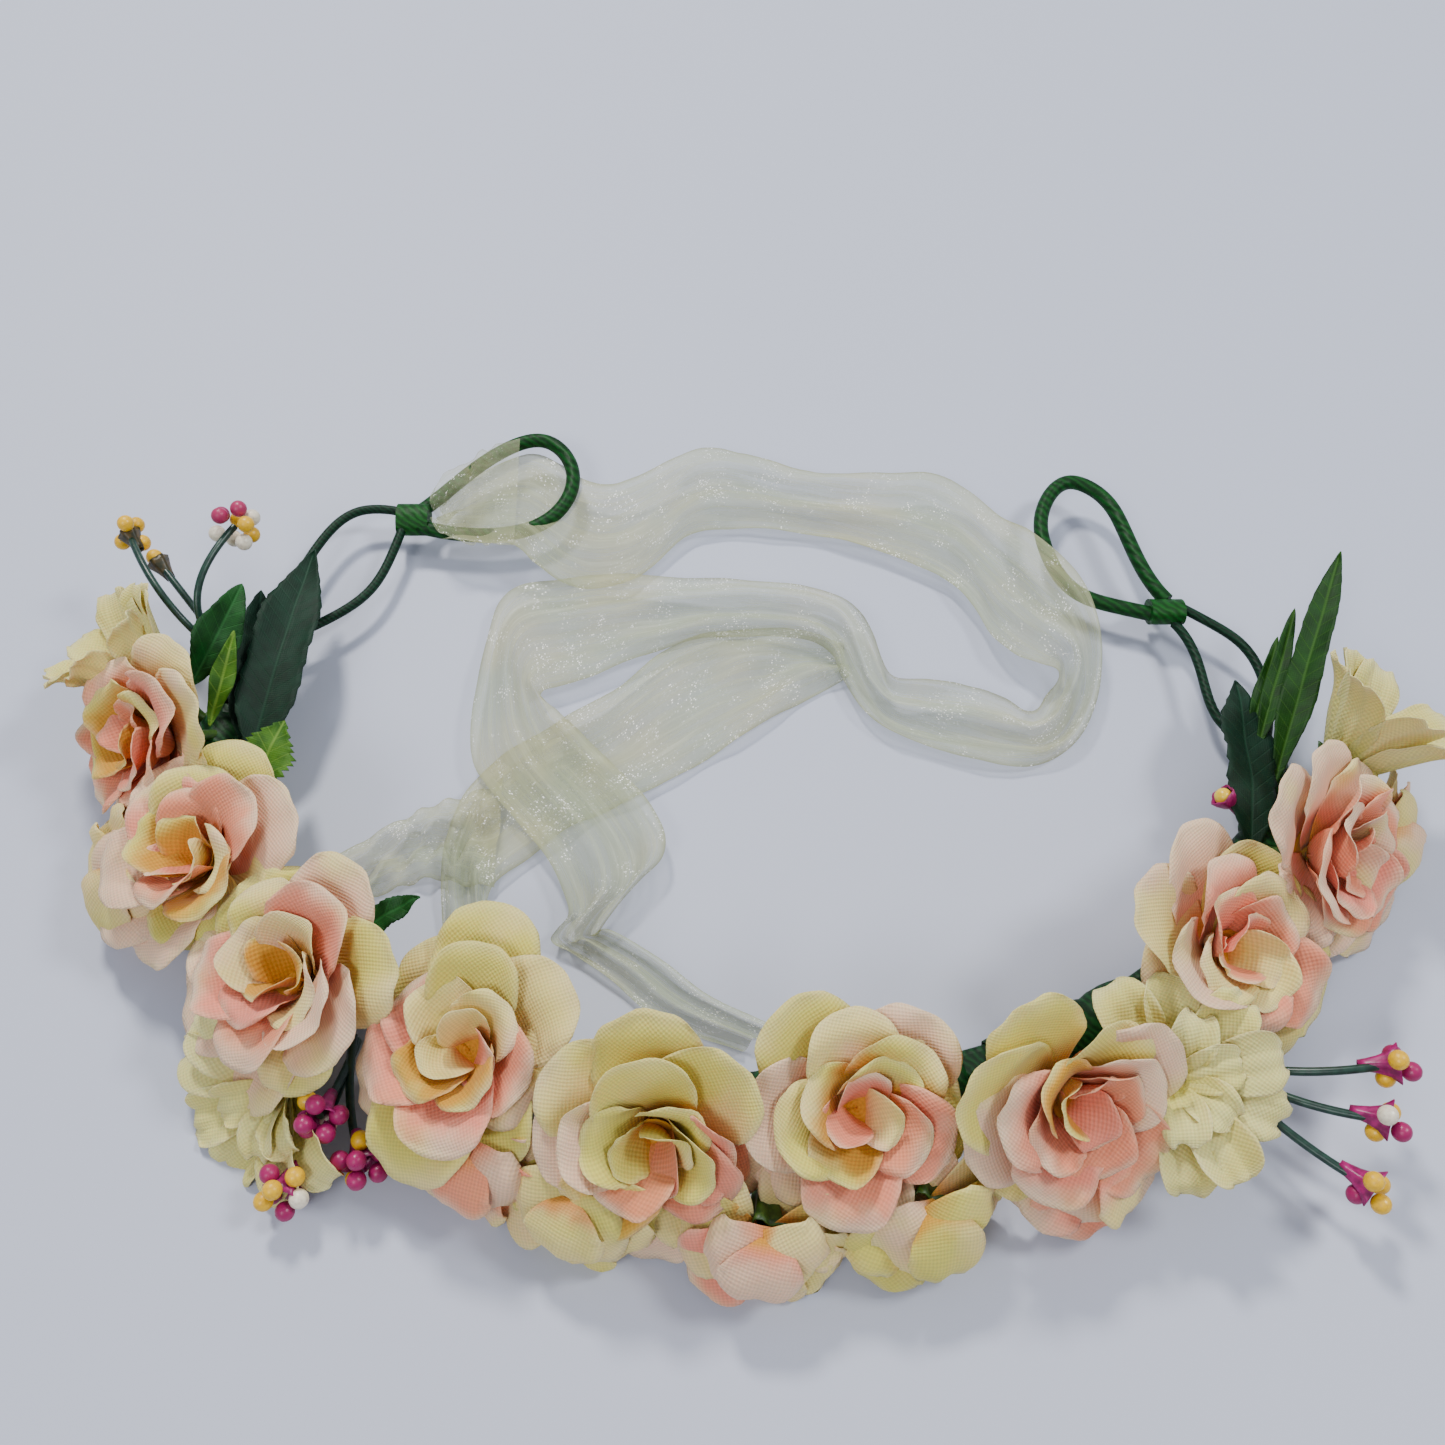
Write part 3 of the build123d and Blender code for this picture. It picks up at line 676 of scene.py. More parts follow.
# Face middle, band angle, how far it turns from looking straight out, dyes of the petals.
BLOSSOMS = [
    ((-127.0, -33.0, 13.2), 196.0, 34, "pc"),
    ((-48.0, -90.5, 13.2), 244.0, 8, "ps"),
    ((-29.0, -99.5, 13.2), 254.0, 0, "yc"),
    ((8.0, -107.0, 13.2), 272.0, 0, "psc"),
    ((39.5, -102.0, 13.2), 288.0, 0, "yyc"),
    ((73.0, -91.5, 13.2), 305.0, -4, "ps"),
    ((143.0, -22.0, 13.2), 346.0, -30, "pc"),
]
BLOSSOM = {
    **PETAL,
    "line": [(1.6, -0.4), (6.0, 0.4), (10.5, 0.4), (14.5, -0.8), (17.4, -3.2)], "half": 9.6, "cup": 30.0,
    "roll": 0.12, "curl": 1.4, "ruffle": 0.45, "ragged": 0.25, "fold": 1.0, "grid": (15, 13),
}
# The upper petals start behind the middle, arch over the button and hang down in front.
BLOSSOM_OVER = {
    **BLOSSOM, "line": [(-3.0, 2.2), (-0.8, 4.6), (3.6, 5.6), (9.0, 4.8), (13.6, 2.0)],
    "half": 9.2, "cup": -50.0, "roll": 0.05, "fold": 0.4, "step": 1.0,
}
BLOSSOM_TOP = {**BLOSSOM_OVER, "half": 8.2}
# How steeply a blossom looks up, how far its middle is drawn in from its face, and how far its
# under petals and its top petal are from the rest.
BLOSSOM_RISE = math.radians(38)
BLOSSOM_INSET = 4.5
UNDER_DROP = 2.2
TOP_LIFT = 2.6
# Bearings of its petals from the way it looks.
RING_TURNS = (-98, -50, 0, 50, 98)
UNDER_TURNS = (-28, 28)
OVER_TURNS = (-52, 48)


def add_button(sheets, seat, foot):
    """The knobbly stamen button in a flower's middle."""
    points = [seat.origin + seat.axis * (foot + rise) for rise in (0.0, 0.9, 1.8, 2.4, 2.7)]
    add_tube(sheets, points, [1.5, 2.2, 2.0, 1.3, 0.1], 1.0, 28, 7, 0.14)


buttons = Sheets()
blossom_cups = Sheets()
for number, (face, angle, twist, letters) in enumerate(BLOSSOMS, 1):
    rng = random.Random(700 + number)
    foot = band_point(angle, outward=4.1, height=5.0)
    outward = outward_bearing(foot) + twist
    away = compass(outward)
    middle = Vector(face) - away * BLOSSOM_INSET
    seat = Seat(middle, middle + away * math.cos(BLOSSOM_RISE) + UP * math.sin(BLOSSOM_RISE))
    cloth = Sheets()
    for turns, place, layer in (
        (RING_TURNS, seat, BLOSSOM),
        (UNDER_TURNS, seat.moved(-UNDER_DROP), BLOSSOM),
        (OVER_TURNS, seat, BLOSSOM_OVER),
    ):
        petals = [(outward + turn, rng.choice(letters)) for turn in turns]
        add_ring(cloth, place, rng, petals, layer)
    petals = [(outward + rng.uniform(-14, 10), rng.choice(letters))]
    add_ring(cloth, seat.moved(TOP_LIFT), rng, petals, BLOSSOM_TOP)
    add_button(buttons, seat, 0.6)
    cup_points = [foot + (seat.origin - foot) * share for share in (0.0, 0.4, 0.7, 0.9, 1.0)]
    add_tube(blossom_cups, cup_points, [1.1, 1.3, 2.2, 3.2, 4.2], 1.0, 25, 5, 0.3)
    add_piece(cloth, f"blossom_{number}_cloth", petal_cloth, f"blossom_{number}_petals")

add_piece(blossom_cups, "blossom_calyx_cups", calyx_plastic, "blossom_calyxes", SHELL)

# ---- daisies

OPEN_LINE = [(1.6, 0.0), (7.5, 2.2), (14.0, 4.8), (19.0, 5.8), (22.5, 5.0)]
CUP_LINE = [(1.6, -7.5), (5.2, -2.0), (9.2, 5.5), (13.0, 11.5), (16.0, 14.5)]
DAISY = {
    **PETAL, "half": 6.6, "cup": 9.0, "roll": 0.1, "curl": 0.6, "ruffle": 0.4, "ragged": 1.2, "fold": 1.5,
    "widest": 0.68, "root": 0.32, "shoulder": 0.8, "notch": 1.6, "grooves": 0.8,
}
HOOD_LINE = [(1.0, 0.8), (3.6, 4.2), (7.0, 6.8), (10.6, 7.8), (13.4, 7.2)]
HOOD = {**DAISY, "line": HOOD_LINE, "half": 5.4, "cup": 6.0}
EIGHT_ROUND = "20 65 110 155 200 245 290 335"
# Name, band angle, middle of the petals' roots, which way the flower looks, petals, size and
# the bearings of the petals and of the hooded petals over its middle.
DAISIES = [
    ("back_left", 168.0, (-129.5, 18.0, 19.0), (-0.62, 0.26, 0.72), CUP_LINE, 0.96, EIGHT_ROUND, ""),
    ("front_left", 226.0, (-86.0, -73.5, 9.5), (-0.45, -0.55, 0.7), OPEN_LINE, 1.0,
     "165 200 235 268 296 125", "200 250 284"),
    ("front_right", 309.0, (86.0, -75.0, 17.5), (-0.05, -0.3, 0.95), OPEN_LINE, 0.96,
     "92 52 14 -22 -58 -92 128", "75 20 -35 -90"),
    ("back_right", 353.5, (135.5, -5.0, 24.0), (0.5, 0.4, 0.77), CUP_LINE, 1.05, EIGHT_ROUND, ""),
]

calyxes = Sheets()
for number, (name, angle, root, way, line, reach, around, hooded) in enumerate(DAISIES, 1):
    rng = random.Random(900 + number)
    seat = Seat(Vector(root), Vector(root) + Vector(way))
    cloth = Sheets()
    own_layer = {**DAISY, "line": [(x * reach, y) for x, y in line], "half": DAISY["half"] * reach}
    for bearings, layer in ((around, own_layer), (hooded, HOOD)):
        add_ring(cloth, seat, rng, [(float(bearing), "d") for bearing in bearings.split()], layer)
    add_piece(cloth, f"daisy_{name}_cloth", daisy_cloth, f"daisy_{name}_petals")
    base = line[0][1]
    add_button(buttons, seat, base + 0.4)
    rise = (-5.0, -3.6, -2.2, -1.2, -0.6) if line is OPEN_LINE else (-4.0, -2.5, -0.8, 1.2, 4.0)
    cup_points = [seat.origin + seat.axis * (base + k) for k in rise]
    add_tube(calyxes, cup_points, [1.4, 2.0, 3.0, 3.9, 5.4], 1.0, 25, 6, 0.3)
    stalk = [band_point(angle, 3.5, 9.0), seat.origin + seat.axis * (base - 9), cup_points[1]]
    add_tube(calyxes, [spline(stalk, k / 8) for k in range(9)], [1.3] * 9)

add_piece(calyxes, "daisy_calyx_cups", calyx_plastic, "daisy_calyxes", SHELL)
centre_plastic = plastic_look("centre_plastic", srgb(148, 124, 40), srgb(196, 168, 66))
add_piece(buttons, "flower_buttons", centre_plastic, "flower_centres", 0)

# ---- leaves


def add_leaf(sheets, rng, foot, tip, breadth, bow, roll, teeth, fold, widest):
    """A leaf blade with a folded midrib, a wavy or toothed edge and a drooping tip."""
    foot, tip = Vector(foot), Vector(tip)
    span = tip - foot
    length = span.length
    along = span.normalized()
    across = UP.cross(along).normalized()
    across = across * math.cos(math.radians(roll)) + along.cross(across) * math.sin(math.radians(roll))
    normal = along.cross(across)
    seed = rng.uniform(0, 90)
    rows = []
    for i in range(53):
        u = i / 52
        outline = math.sin(math.pi * u ** (math.log(0.5) / math.log(widest))) ** 0.8 if 0 < u < 1 else 0.0
        tooth = 1 + 0.1 * math.sin(u * 11 + seed) * smooth(0.0, 0.2, u)
        tooth -= teeth * ((u * 13 + 0.3 * math.sin(u * 9 + seed)) % 1) * smooth(0.0, 0.15, u)
        half = breadth / 2 * outline * tooth
        row = []
        for j in range(11):
            v = 2 * j / 10 - 1
            s = v * half
            lift = bow * math.sin(math.pi * u) + abs(s) * fold
            lift += noise.noise(Vector((s * 0.15 + seed, u * 4, seed))) * 1.1
            lift += 0.5 * math.sin(u * 15 + seed) * v * v
            point = foot + along * (length * u) + across * s + normal * lift
            row.append((point, (s, length * u), (u, abs(v), 0.5, 0.5)))
        rows.append(row)
    sheets.add(rows)


# Blades as foot, tip, breadth, bow, roll, teeth, fold and where it is broadest.
LEAVES = [
    ("dark_leaf_left", dark_leaf, [
        ((-105.0, 1.0, 13.0), (-98.0, 55.0, 17.5), 15.0, 2.5, 10.0, 0.08, 0.35, 0.42),
        ((-108.0, 4.0, 12.5), (-109.5, 44.0, 16.0), 11.0, 2.0, 24.0, 0.1, 0.3, 0.45),
    ]),
    ("light_leaf_left", green_leaf, [
        ((-103.5, -15.0, 14.0), (-97.0, 6.0, 18.5), 14.0, 1.5, 8.0, 0.3, 0.25, 0.45),
        ((-114.5, 6.0, 16.0), (-109.5, 25.0, 26.0), 5.0, 1.0, 30.0, 0.0, 0.3, 0.5),
    ]),
    ("small_leaves_left", glossy_leaf, [
        ((-119.0, 14.0, 20.0), (-109.5, 37.0, 27.5), 10.0, 1.5, 35.0, 0.05, 0.5, 0.5),
        ((-75.5, -42.5, 13.0), (-62.0, -37.0, 18.5), 7.0, 0.8, 0.0, 0.1, 0.2, 0.45),
    ]),
    ("lance_leaf_right", lance_leaf, [
        ((121.0, -8.0, 12.5), (143.5, 47.0, 26.5), 8.0, 1.5, -15.0, 0.06, 0.35, 0.5),
    ]),
    ("blades_right", lance_leaf, [
        ((118.5, 0.0, 13.0), (132.5, 35.5, 20.5), 4.4, 0.8, 0.0, 0.0, 0.3, 0.5),
        ((117.0, 2.0, 12.5), (128.0, 29.0, 18.0), 3.8, 0.6, 0.0, 0.0, 0.3, 0.5),
    ]),
    ("dark_leaf_right", dark_leaf, [
        ((113.5, -24.0, 12.0), (117.0, 19.0, 14.5), 14.0, 2.0, 15.0, 0.12, 0.2, 0.5),
    ]),
]
for number, (name, material, blades) in enumerate(LEAVES):
    rng = random.Random(1100 + number)
    cloth = Sheets()
    for blade in blades:
        add_leaf(cloth, rng, *blade)
    add_piece(cloth, name + "_cloth", material, name, SHELL)

# ---- ribbon

RIBBON_WIDTH = 33.0
STRIP_COLUMNS = 29
STEPS_PER_STATION = 6


def add_strip(sheets, stations, seed, folds, part=(0.0, 1.0), crinkle=0.55, sheer=0.0):
    """A strip of ribbon between pairs of edge points. Where the pair stands closer together than
    the ribbon is wide, the rest of its width goes into lengthwise folds. part is the share built,
    and sheer makes the cloth more see-through."""
    left = [a for a, _ in stations]
    right = [b for _, b in stations]
    total = (len(stations) - 1) * STEPS_PER_STATION
    rows = []
    length = 0.0
    last = None
    for i in range(total + 1):
        t = i / total
        a, b = spline(left, t), spline(right, t)
        after = spline(left, t + 0.01) + spline(right, t + 0.01)
        ahead = after - (spline(left, t - 0.01) + spline(right, t - 0.01))
        across = b - a
        normal = across.cross(ahead).normalized()
        if normal.z < 0:
            normal = -normal
        middle = (a + b) / 2
        length += (middle - last).length if last else 0.0
        last = middle
        if not part[0] - 1e-6 <= t <= part[1] + 1e-6:
            continue
        width = across.length
        spare = math.sqrt(max(0.0, (RIBBON_WIDTH / width) ** 2 - 1))
        height = min(2.6, width * spare / (math.pi * folds) * 0.45)
        drift = noise.noise(Vector((t * 9, seed, 0))) * 3
        row = []
        for j in range(STRIP_COLUMNS):
            s = j / (STRIP_COLUMNS - 1)
            v = abs(2 * s - 1)
            wave = height * math.sin(2 * math.pi * folds * s + drift) * (1 - 0.4 * v)
            fine = noise.noise(Vector((s * 4 + seed, length * 0.09, seed))) * 2 * crinkle
            fine += noise.noise(Vector((s * 12, length * 0.22 + seed, seed))) * crinkle * 0.6
            point = a + across * s + normal * (wave + fine)
            point.z = max(point.z, 0.6 + 0.2 * v)
            row.append((point, (s * RIBBON_WIDTH, length), (t, smooth(0.9, 1.0, v), 0.5, sheer)))
        rows.append(row)
    sheets.add(rows)


# Pairs of edge points. The end is folded over both strands of the left eyelet.
SLEEVE = [
    ((-73.0, 75.0, 11.0), (-72.5, 69.5, 11.0)),
    ((-71.5, 82.0, 11.8), (-69.5, 64.5, 11.4)),
    ((-65.0, 89.5, 12.4), (-62.5, 62.5, 11.4)),
    ((-58.5, 93.5, 12.4), (-57.0, 62.0, 11.2)),
    ((-52.5, 96.5, 12.0), (-51.5, 62.0, 10.8)),
]
RUN = [
    ((-72.0, 80.0, 5.0), (-71.0, 66.5, 8.0)), ((-68.0, 87.0, 5.0), (-67.0, 64.5, 10.0)),
    ((-61.5, 92.0, 5.0), (-60.5, 63.0, 10.4)), ((-51.5, 97.0, 5.5), (-51.5, 62.0, 10.6)),
    ((-42.5, 92.5, 6.5), (-46.0, 57.5, 9.0)), ((-36.0, 87.0, 7.0), (-39.5, 54.0, 6.0)),
    ((-29.0, 85.0, 7.0), (-32.5, 54.0, 3.5)), ((-21.5, 87.5, 8.0), (-24.0, 56.0, 3.5)),
    ((-12.5, 93.0, 8.5), (-17.0, 62.0, 3.5)), ((-4.0, 96.5, 9.0), (-8.0, 71.5, 4.0)),
    ((6.0, 95.0, 8.5), (4.0, 73.5, 4.0)), ((18.0, 90.5, 8.0), (16.0, 72.5, 4.0)),
    ((30.5, 88.0, 8.0), (28.0, 70.0, 4.0)), ((42.0, 88.0, 8.0), (38.5, 66.0, 4.0)),
    ((52.5, 88.5, 8.0), (47.5, 61.5, 4.0)), ((62.0, 83.5, 8.0), (56.0, 56.0, 4.5)),
    ((70.0, 72.5, 9.5), (61.5, 47.5, 5.0)), ((76.5, 65.5, 12.0), (64.5, 39.0, 6.0)),
    ((83.0, 57.0, 12.8), (69.0, 32.5, 7.0)), ((87.5, 48.5, 12.4), (74.5, 28.5, 8.0)),
    ((89.5, 39.5, 10.5), (79.0, 27.5, 6.5)), ((90.0, 30.0, 7.0), (79.0, 25.0, 4.5)),
    ((88.0, 20.0, 5.0), (76.5, 22.0, 3.5)), ((83.0, 10.5, 3.5), (74.0, 18.5, 3.5)),
    ((75.5, 5.0, 2.5), (71.0, 18.0, 4.0)), ((67.5, 3.5, 2.5), (66.5, 21.0, 4.5)),
    ((58.5, 5.0, 2.5), (58.0, 24.0, 5.0)), ((48.0, 8.5, 2.5), (48.0, 25.0, 6.0)),
    ((39.0, 13.0, 2.5), (40.5, 25.0, 7.0)), ((33.0, 19.0, 3.0), (38.0, 29.5, 8.0)),
    ((28.5, 28.0, 3.0), (36.5, 36.0, 8.0)), ((26.5, 33.5, 4.0), (33.5, 43.5, 8.0)),
    ((21.5, 37.5, 5.0), (29.0, 48.5, 8.0)), ((12.5, 39.0, 5.0), (21.0, 52.5, 7.5)),
    ((3.0, 39.0, 5.0), (9.0, 54.5, 7.0)), ((-8.0, 37.5, 5.0), (-4.5, 55.0, 7.0)),
    ((-20.0, 33.0, 4.5), (-16.5, 56.5, 6.0)), ((-31.0, 27.5, 4.0), (-29.0, 57.5, 5.0)),
    ((-38.5, 24.5, 4.0), (-40.0, 56.0, 4.6)), ((-42.0, 23.5, 4.0), (-50.0, 54.5, 4.4)),
    ((-43.0, 22.0, 4.0), (-55.0, 49.0, 4.4)), ((-42.5, 21.0, 4.0), (-57.0, 39.0, 4.4)),
    ((-40.0, 19.0, 4.0), (-58.0, 26.0, 5.0)), ((-36.0, 15.0, 4.0), (-58.5, 13.0, 5.0)),
    ((-30.5, 9.0, 4.0), (-57.0, 3.0, 5.0)), ((-25.0, 3.0, 4.0), (-53.0, -3.5, 4.5)),
    ((-18.0, -5.0, 4.5), (-45.0, -13.0, 4.5)), ((-13.0, -14.5, 5.5), (-38.0, -22.0, 4.5)),
    ((-13.0, -21.5, 6.0), (-34.0, -30.5, 4.5)), ((-17.5, -27.0, 6.0), (-33.0, -35.0, 5.0)),
    ((-22.5, -32.5, 5.0), (-35.5, -38.0, 4.5)), ((-26.5, -38.0, 3.0), (-36.5, -40.0, 3.0)),
    ((-24.5, -37.0, 2.0), (-31.5, -43.0, 2.0)), ((-15.0, -42.5, 2.0), (-23.0, -49.0, 2.0)),
    ((-4.0, -51.0, 2.0), (-12.0, -58.0, 2.0)), ((10.0, -58.0, 2.0), (4.0, -64.0, 2.0)),
]
DIAGONAL = [
    ((29.0, 37.5, 3.0), (30.5, 29.0, 2.0)), ((14.0, 42.0, 3.0), (16.0, 20.0, 2.0)),
    ((-0.5, 42.0, 3.0), (3.0, 10.5, 2.0)), ((-13.0, 36.5, 3.0), (-8.5, 2.5, 2.0)),
    ((-26.0, 24.0, 3.0), (-21.0, -5.0, 2.0)), ((-38.0, 16.0, 3.0), (-33.0, -11.5, 2.0)),
    ((-49.0, 8.0, 3.0), (-42.5, -19.5, 2.0)), ((-56.5, 0.0, 3.0), (-50.5, -27.0, 2.0)),
    ((-60.5, -10.0, 3.0), (-51.0, -36.0, 2.0)), ((-62.0, -19.5, 3.0), (-48.0, -44.5, 2.0)),
    ((-61.0, -31.5, 3.0), (-42.0, -51.5, 2.0)), ((-59.0, -43.0, 3.0), (-36.0, -55.5, 2.0)),
]
TAIL_END = [
    ((-50.0, 0.0, 3.5), (-50.0, -27.0, 3.0)),
    ((-57.0, -4.5, 3.5), (-57.0, -26.5, 2.5)),
    ((-64.0, -6.5, 3.5), (-64.0, -25.0, 2.5)),
    ((-71.0, -10.5, 4.0), (-71.0, -27.5, 2.5)),
    ((-78.0, -16.0, 5.0), (-77.0, -30.0, 3.0)),
    ((-86.0, -22.0, 7.0), (-83.0, -33.0, 4.0)),
]

# The run is split on the table, so that its halves can follow the tails and its end the band.
LEFT_SHARE = 11 / (len(RUN) - 1)
RIGHT_SHARE = 30 / (len(RUN) - 1)
left_run = Sheets()
add_strip(left_run, RUN, 3.1, 2.0, (0.0, LEFT_SHARE))
add_strip(left_run, SLEEVE, 5.7, 1.0, crinkle=0.25, sheer=0.4)
ribbon_left = left_run.build("ribbon_left", organza, 0)
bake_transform(ribbon_left)
right_run = Sheets()
add_strip(right_run, RUN, 3.1, 2.0, (LEFT_SHARE, RIGHT_SHARE))
ribbon_right = right_run.build("ribbon_right", organza, 0)
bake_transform(ribbon_right)
loose = Sheets()
add_strip(loose, RUN, 3.1, 2.0, (RIGHT_SHARE, 1.0))
add_strip(loose, DIAGONAL, 12.9, 1.5)
add_strip(loose, TAIL_END, 17.2, 1.5)
ribbon_loose = loose.build("ribbon_loose", organza, 0)
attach(ribbon_loose, "band")
for piece in (ribbon_left, ribbon_right, ribbon_loose):
    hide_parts("ribbon")

# ---- taped joints and berry cups

# Crepe tape wound over each stem's foot, and over the ends of the band where the tails begin.
tape_cloth = tape_look("joint_tape", srgb(2, 40, 12), srgb(12, 68, 26), 1.1, 1.5)
wraps = Sheets()
feet = [angle for _, angle, *_ in ROSES + BLOSSOMS + DAISIES]
for number, angle in enumerate(feet):
    rng = random.Random(1300 + number)
    turns = [angle + 0.9 * k for k in range(-4, 5)]
    middle = [band_point(turn, 0.8, 8.3) for turn in turns]
    swell = [4.2 + 1.3 * math.cos(math.pi * k / 9) + rng.uniform(-0.25, 0.25) for k in range(-4, 5)]
    add_tube(wraps, middle, swell, 0.66)
add_piece(wraps, "stem_wraps", tape_cloth, None, SHELL)

TAPE_ENDS = {
    "left": [
        (-108.0, 26.5, 8.0), (-107.5, 30.0, 8.0), (-106.7, 33.5, 8.0), (-106.0, 37.0, 8.0),
        (-105.0, 41.0, 8.0),
    ],
    "right": [
        (122.3, -3.5, 8.0), (122.3, 0.0, 8.0), (122.2, 3.6, 8.0), (122.2, 7.5, 8.0), (122.0, 12.0, 8.1),
    ],
}
for side, points in TAPE_ENDS.items():
    joint = Sheets()
    add_tube(joint, [spline(points, k / 12) for k in range(13)], [4.0 - 0.12 * k for k in range(13)], 0.62)
    obj = joint.build(side + "_tape_end", tape_cloth, SHELL)
    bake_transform(obj)


def add_cup(sheets, way, tip, shape, lobes, lobe_depth):
    """A lobed cup on the end of a stem. shape is pairs of distance past the tip and radius."""
    tip = Vector(tip)
    ahead = (tip - Vector(way)).normalized()
    points = [tip + ahead * past for past, _ in shape]
    add_tube(sheets, points, [radius for _, radius in shape], 1.0, 20, lobes, lobe_depth)


# The end of each stem of the picks: a point that it comes from, and its tip. The left pick ends in
# bare buds, and the others in lacquered cups that hold the beads.
BUD_SHAPE = ((-5.0, 0.95), (-3.5, 1.2), (-2.0, 1.6), (-0.6, 2.1), (0.6, 2.4))
CUP_SHAPE = ((-6.5, 0.95), (-5.0, 1.15), (-3.0, 1.5), (-1.0, 2.1), (0.8, 3.4))
BUD_TIPS = [((-121.5, 29, 22.5), (-138.5, 52, 27)), ((-121, 34, 19.5), (-131.5, 46, 24))]
PICK_TIPS = {
    "right_pick": [
        ((107, -71.5, 14), (128.5, -72.5, 20)),
        ((106, -74.5, 11.5), (125.5, -82.5, 17.5)),
        ((104, -77, 9.5), (121.5, -94, 13.5)),
    ],
    "front_pick": [
        ((-75.5, -71, 9), (-77, -81, 15)),
        ((-77.5, -77, 6), (-84, -93, 7.5)),
        ((-74, -74, 6.5), (-69.5, -88, 9)),
    ],
}
cup_look = plastic_look("cup_lacquer", srgb(120, 8, 76), srgb(170, 24, 110), 0.35)
bud_look = plastic_look("bud_lacquer", srgb(34, 38, 14), srgb(84, 66, 26), 0.4)
buds = Sheets()
for way, tip in BUD_TIPS:
    add_cup(buds, way, tip, BUD_SHAPE, 6, 0.12)
add_piece(buds, "left_pick_buds", bud_look, None, CUP_WALL, "left_pick")
for body, tips in PICK_TIPS.items():
    cups = Sheets()
    for way, tip in tips:
        add_cup(cups, way, tip, CUP_SHAPE, 5, 0.22)
    add_piece(cups, body + "_cups", cup_look, None, CUP_WALL, body)

# A sprig inside the crown on the right: a short stem, its cup and one bead.
SPRIG_CUP_SHAPE = ((-1.5, 0.9), (-0.5, 1.7), (0.8, 2.3), (2.2, 2.6))
SPRIG_STEM_RADIUS = 0.8
BEAD_RADIUS = 1.9
BEAD_PAST_TIP = 1.6
sprig = Sheets()
start, tip = Vector((113.0, -14.5, 12.0)), Vector((109.5, -12.5, 15.0))
add_tube(sprig, [start, tip], [SPRIG_STEM_RADIUS] * 2)
add_cup(sprig, start, tip, SPRIG_CUP_SHAPE, 5, 0.12)
add_piece(sprig, "right_sprig_cup", cup_look, None, CUP_WALL)
bead = Sheets()
arcs = [math.pi * k / 10 for k in range(11)]
ahead = (tip - start).normalized()
centre = tip + ahead * BEAD_PAST_TIP
spine = [centre - ahead * BEAD_RADIUS * math.cos(a) for a in arcs]
add_tube(bead, spine, [max(0.02, BEAD_RADIUS * math.sin(a)) for a in arcs])
sprig_bead_look = plastic_look("sprig_bead", srgb(232, 186, 30), srgb(244, 214, 60), 0.3)
add_piece(bead, "right_sprig_bead", sprig_bead_look, None, 0)

# ---- carried-over CAD pieces

wire_paper = tape_look("band_wire_paper", srgb(2, 30, 14), srgb(8, 52, 30), 0.8)
# Looks by how the name of a CAD node ends.
NODE_LOOKS = {
    "band_tape": tape_look("band_tape_paper", srgb(2, 34, 12), srgb(10, 60, 26), 1.0),
    "wire_outer": wire_paper,
    "wire_inner": wire_paper,
    "eyelet": tape_look("eyelet_paper", srgb(0, 44, 8), srgb(2, 74, 18), 1.4, 1.6),
    "binding": tape_look("binding_paper", srgb(4, 56, 10), srgb(12, 84, 22), 1.2, 1.6),
    "rose_calyxes": calyx_plastic,
    "pick_stems": plastic_look("stem_plastic", srgb(14, 44, 36), srgb(28, 66, 52), 0.35),
    "left_pick_berries": bead_look("left_bead_lacquer", 0.45, 0.1, 0.3, -0.124),
    "right_pick_berries": bead_look("right_bead_lacquer", 0.8, 0.1, 0.06),
    "front_pick_berries": bead_look("front_bead_lacquer", 0.48, 0.38, 0.09),
}
for name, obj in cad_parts.items():
    for ending, look in NODE_LOOKS.items():
        if name.endswith(ending):
            obj.data.materials.clear()
            obj.data.materials.append(look)

# ---- floor, light and camera

FLOOR_HALF = 8.0
SENSOR = 36
FIELD_OF_VIEW = 54
CAMERA_RISE = math.radians(58)
CAMERA_DISTANCE = 0.33575
AIM_Y = 0.017

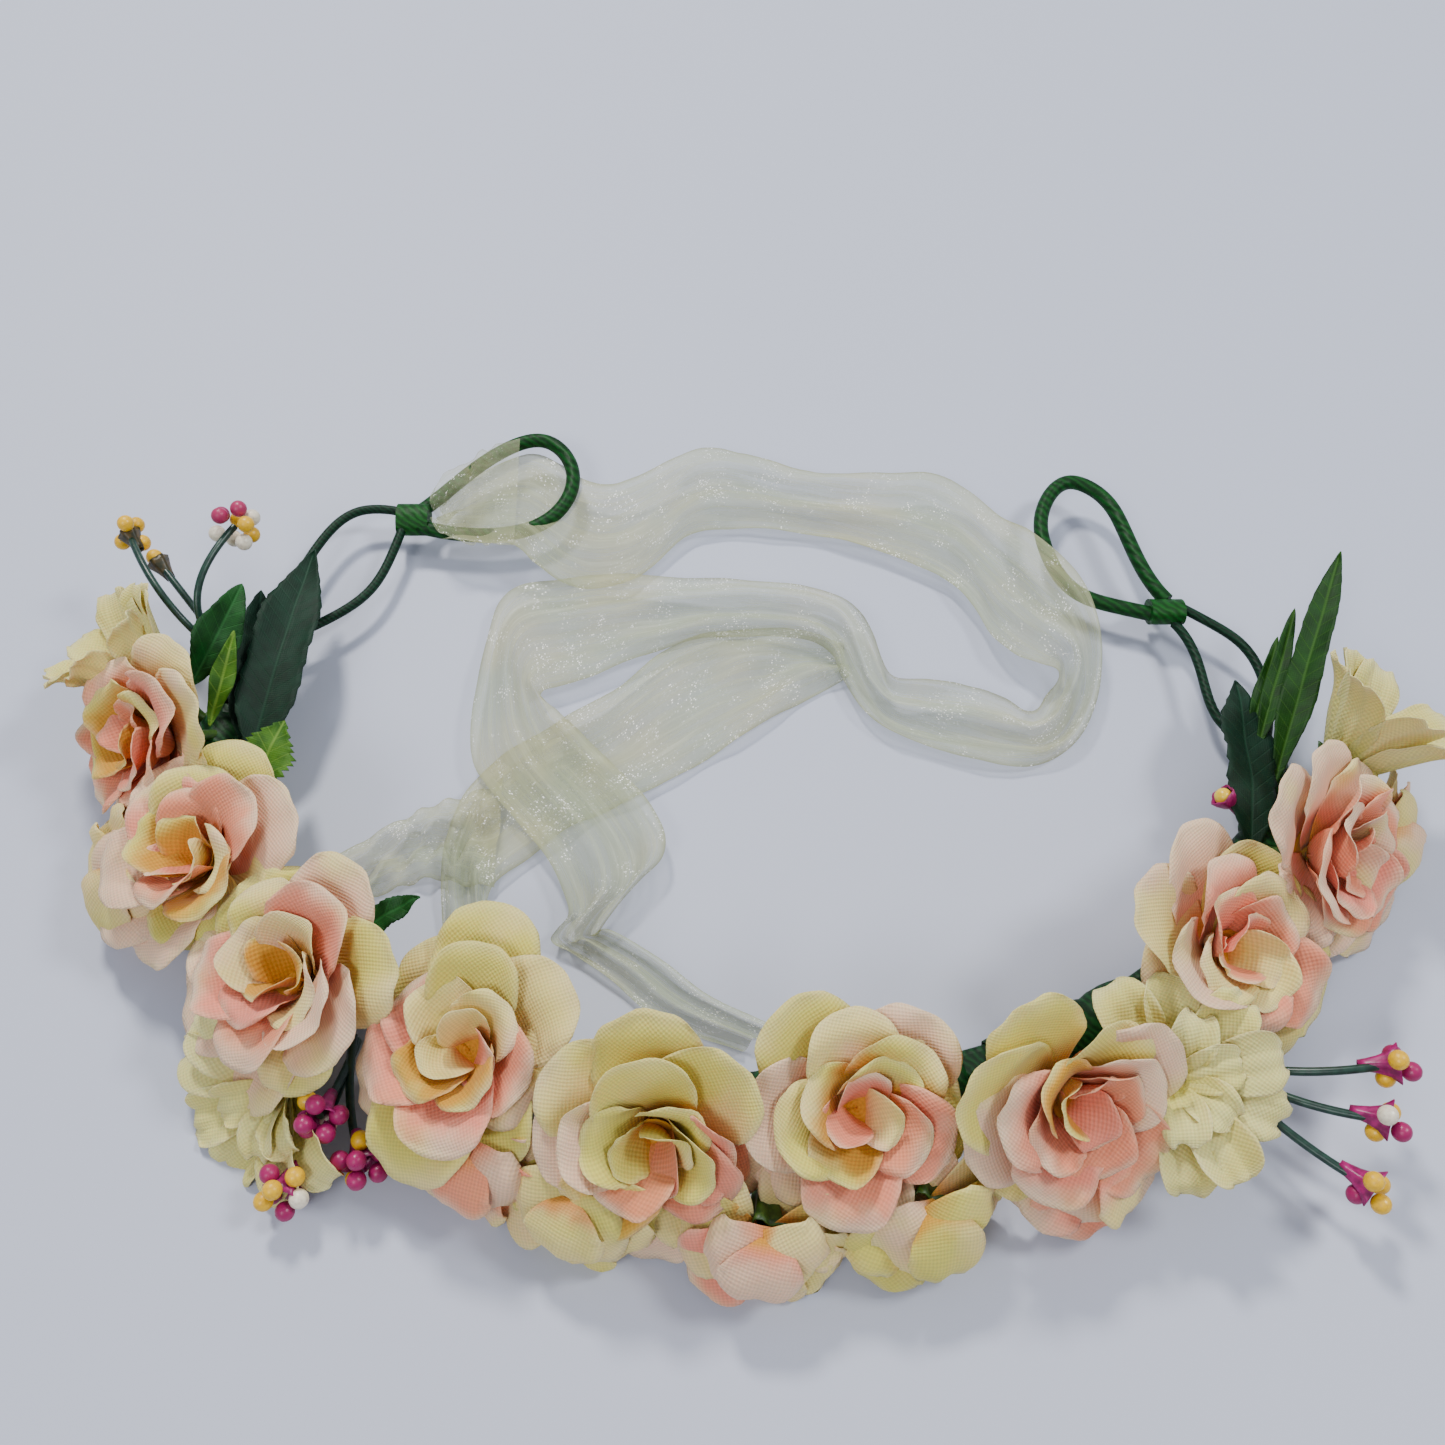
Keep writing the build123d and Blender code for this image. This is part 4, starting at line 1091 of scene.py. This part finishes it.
floor_look = Look("floor_paint")
tone = floor_look.fade(floor_look.noise(1.1, 2), 0.3, 0.7)
floor_color = floor_look.mix(tone, srgb(190, 196, 214), srgb(195, 200, 216))
grain = floor_look.noise(900, 2)
floor_look.finish(floor_color, 0.6, floor_look.bump(grain, 0.02, 0.2))
floor_mesh = bpy.data.meshes.new("floor")
floor_corners = [(FLOOR_HALF * x, FLOOR_HALF * y, 0) for x, y in ((-1, -1), (1, -1), (1, 1), (-1, 1))]
floor_mesh.from_pydata(floor_corners, [], [(0, 1, 2, 3)])
floor_mesh.materials.append(floor_look.material)
floor = bpy.data.objects.new("floor", floor_mesh)
bpy.context.collection.objects.link(floor)


def add_light(name, place, size, power, color):
    data = bpy.data.lights.new(name, "AREA")
    data.shape = "DISK"
    data.size = size
    data.energy = power
    data.color = color
    light = bpy.data.objects.new(name, data)
    light.location = place
    light.rotation_euler = (-Vector(place)).to_track_quat("-Z", "Y").to_euler()
    bpy.context.collection.objects.link(light)


add_light("key", (-0.3, 0.8, 1.1), 0.22, 15.0, (1.0, 0.98, 0.95))
add_light("fill", (0.85, 0.1, 1.1), 0.3, 9.0, (0.96, 0.98, 1.0))
add_light("front", (-0.5, -0.8, 1.1), 0.5, 7.0, (0.98, 0.98, 1.0))
world = bpy.data.worlds.new("soft")
world.use_nodes = True
background = world.node_tree.nodes["Background"]
background.inputs["Color"].default_value = (0.84, 0.88, 1.0, 1.0)
background.inputs["Strength"].default_value = 0.48
bpy.context.scene.world = world

camera_data = bpy.data.cameras.new("camera")
camera_data.sensor_width = SENSOR
camera_data.lens = SENSOR / 2 / math.tan(math.radians(FIELD_OF_VIEW / 2))
camera = bpy.data.objects.new("camera", camera_data)
back = CAMERA_DISTANCE * math.cos(CAMERA_RISE)
camera.location = (0, AIM_Y - back, CAMERA_DISTANCE * math.sin(CAMERA_RISE))
camera.rotation_euler = (math.pi / 2 - CAMERA_RISE, 0, 0)
bpy.context.collection.objects.link(camera)
bpy.context.scene.camera = camera
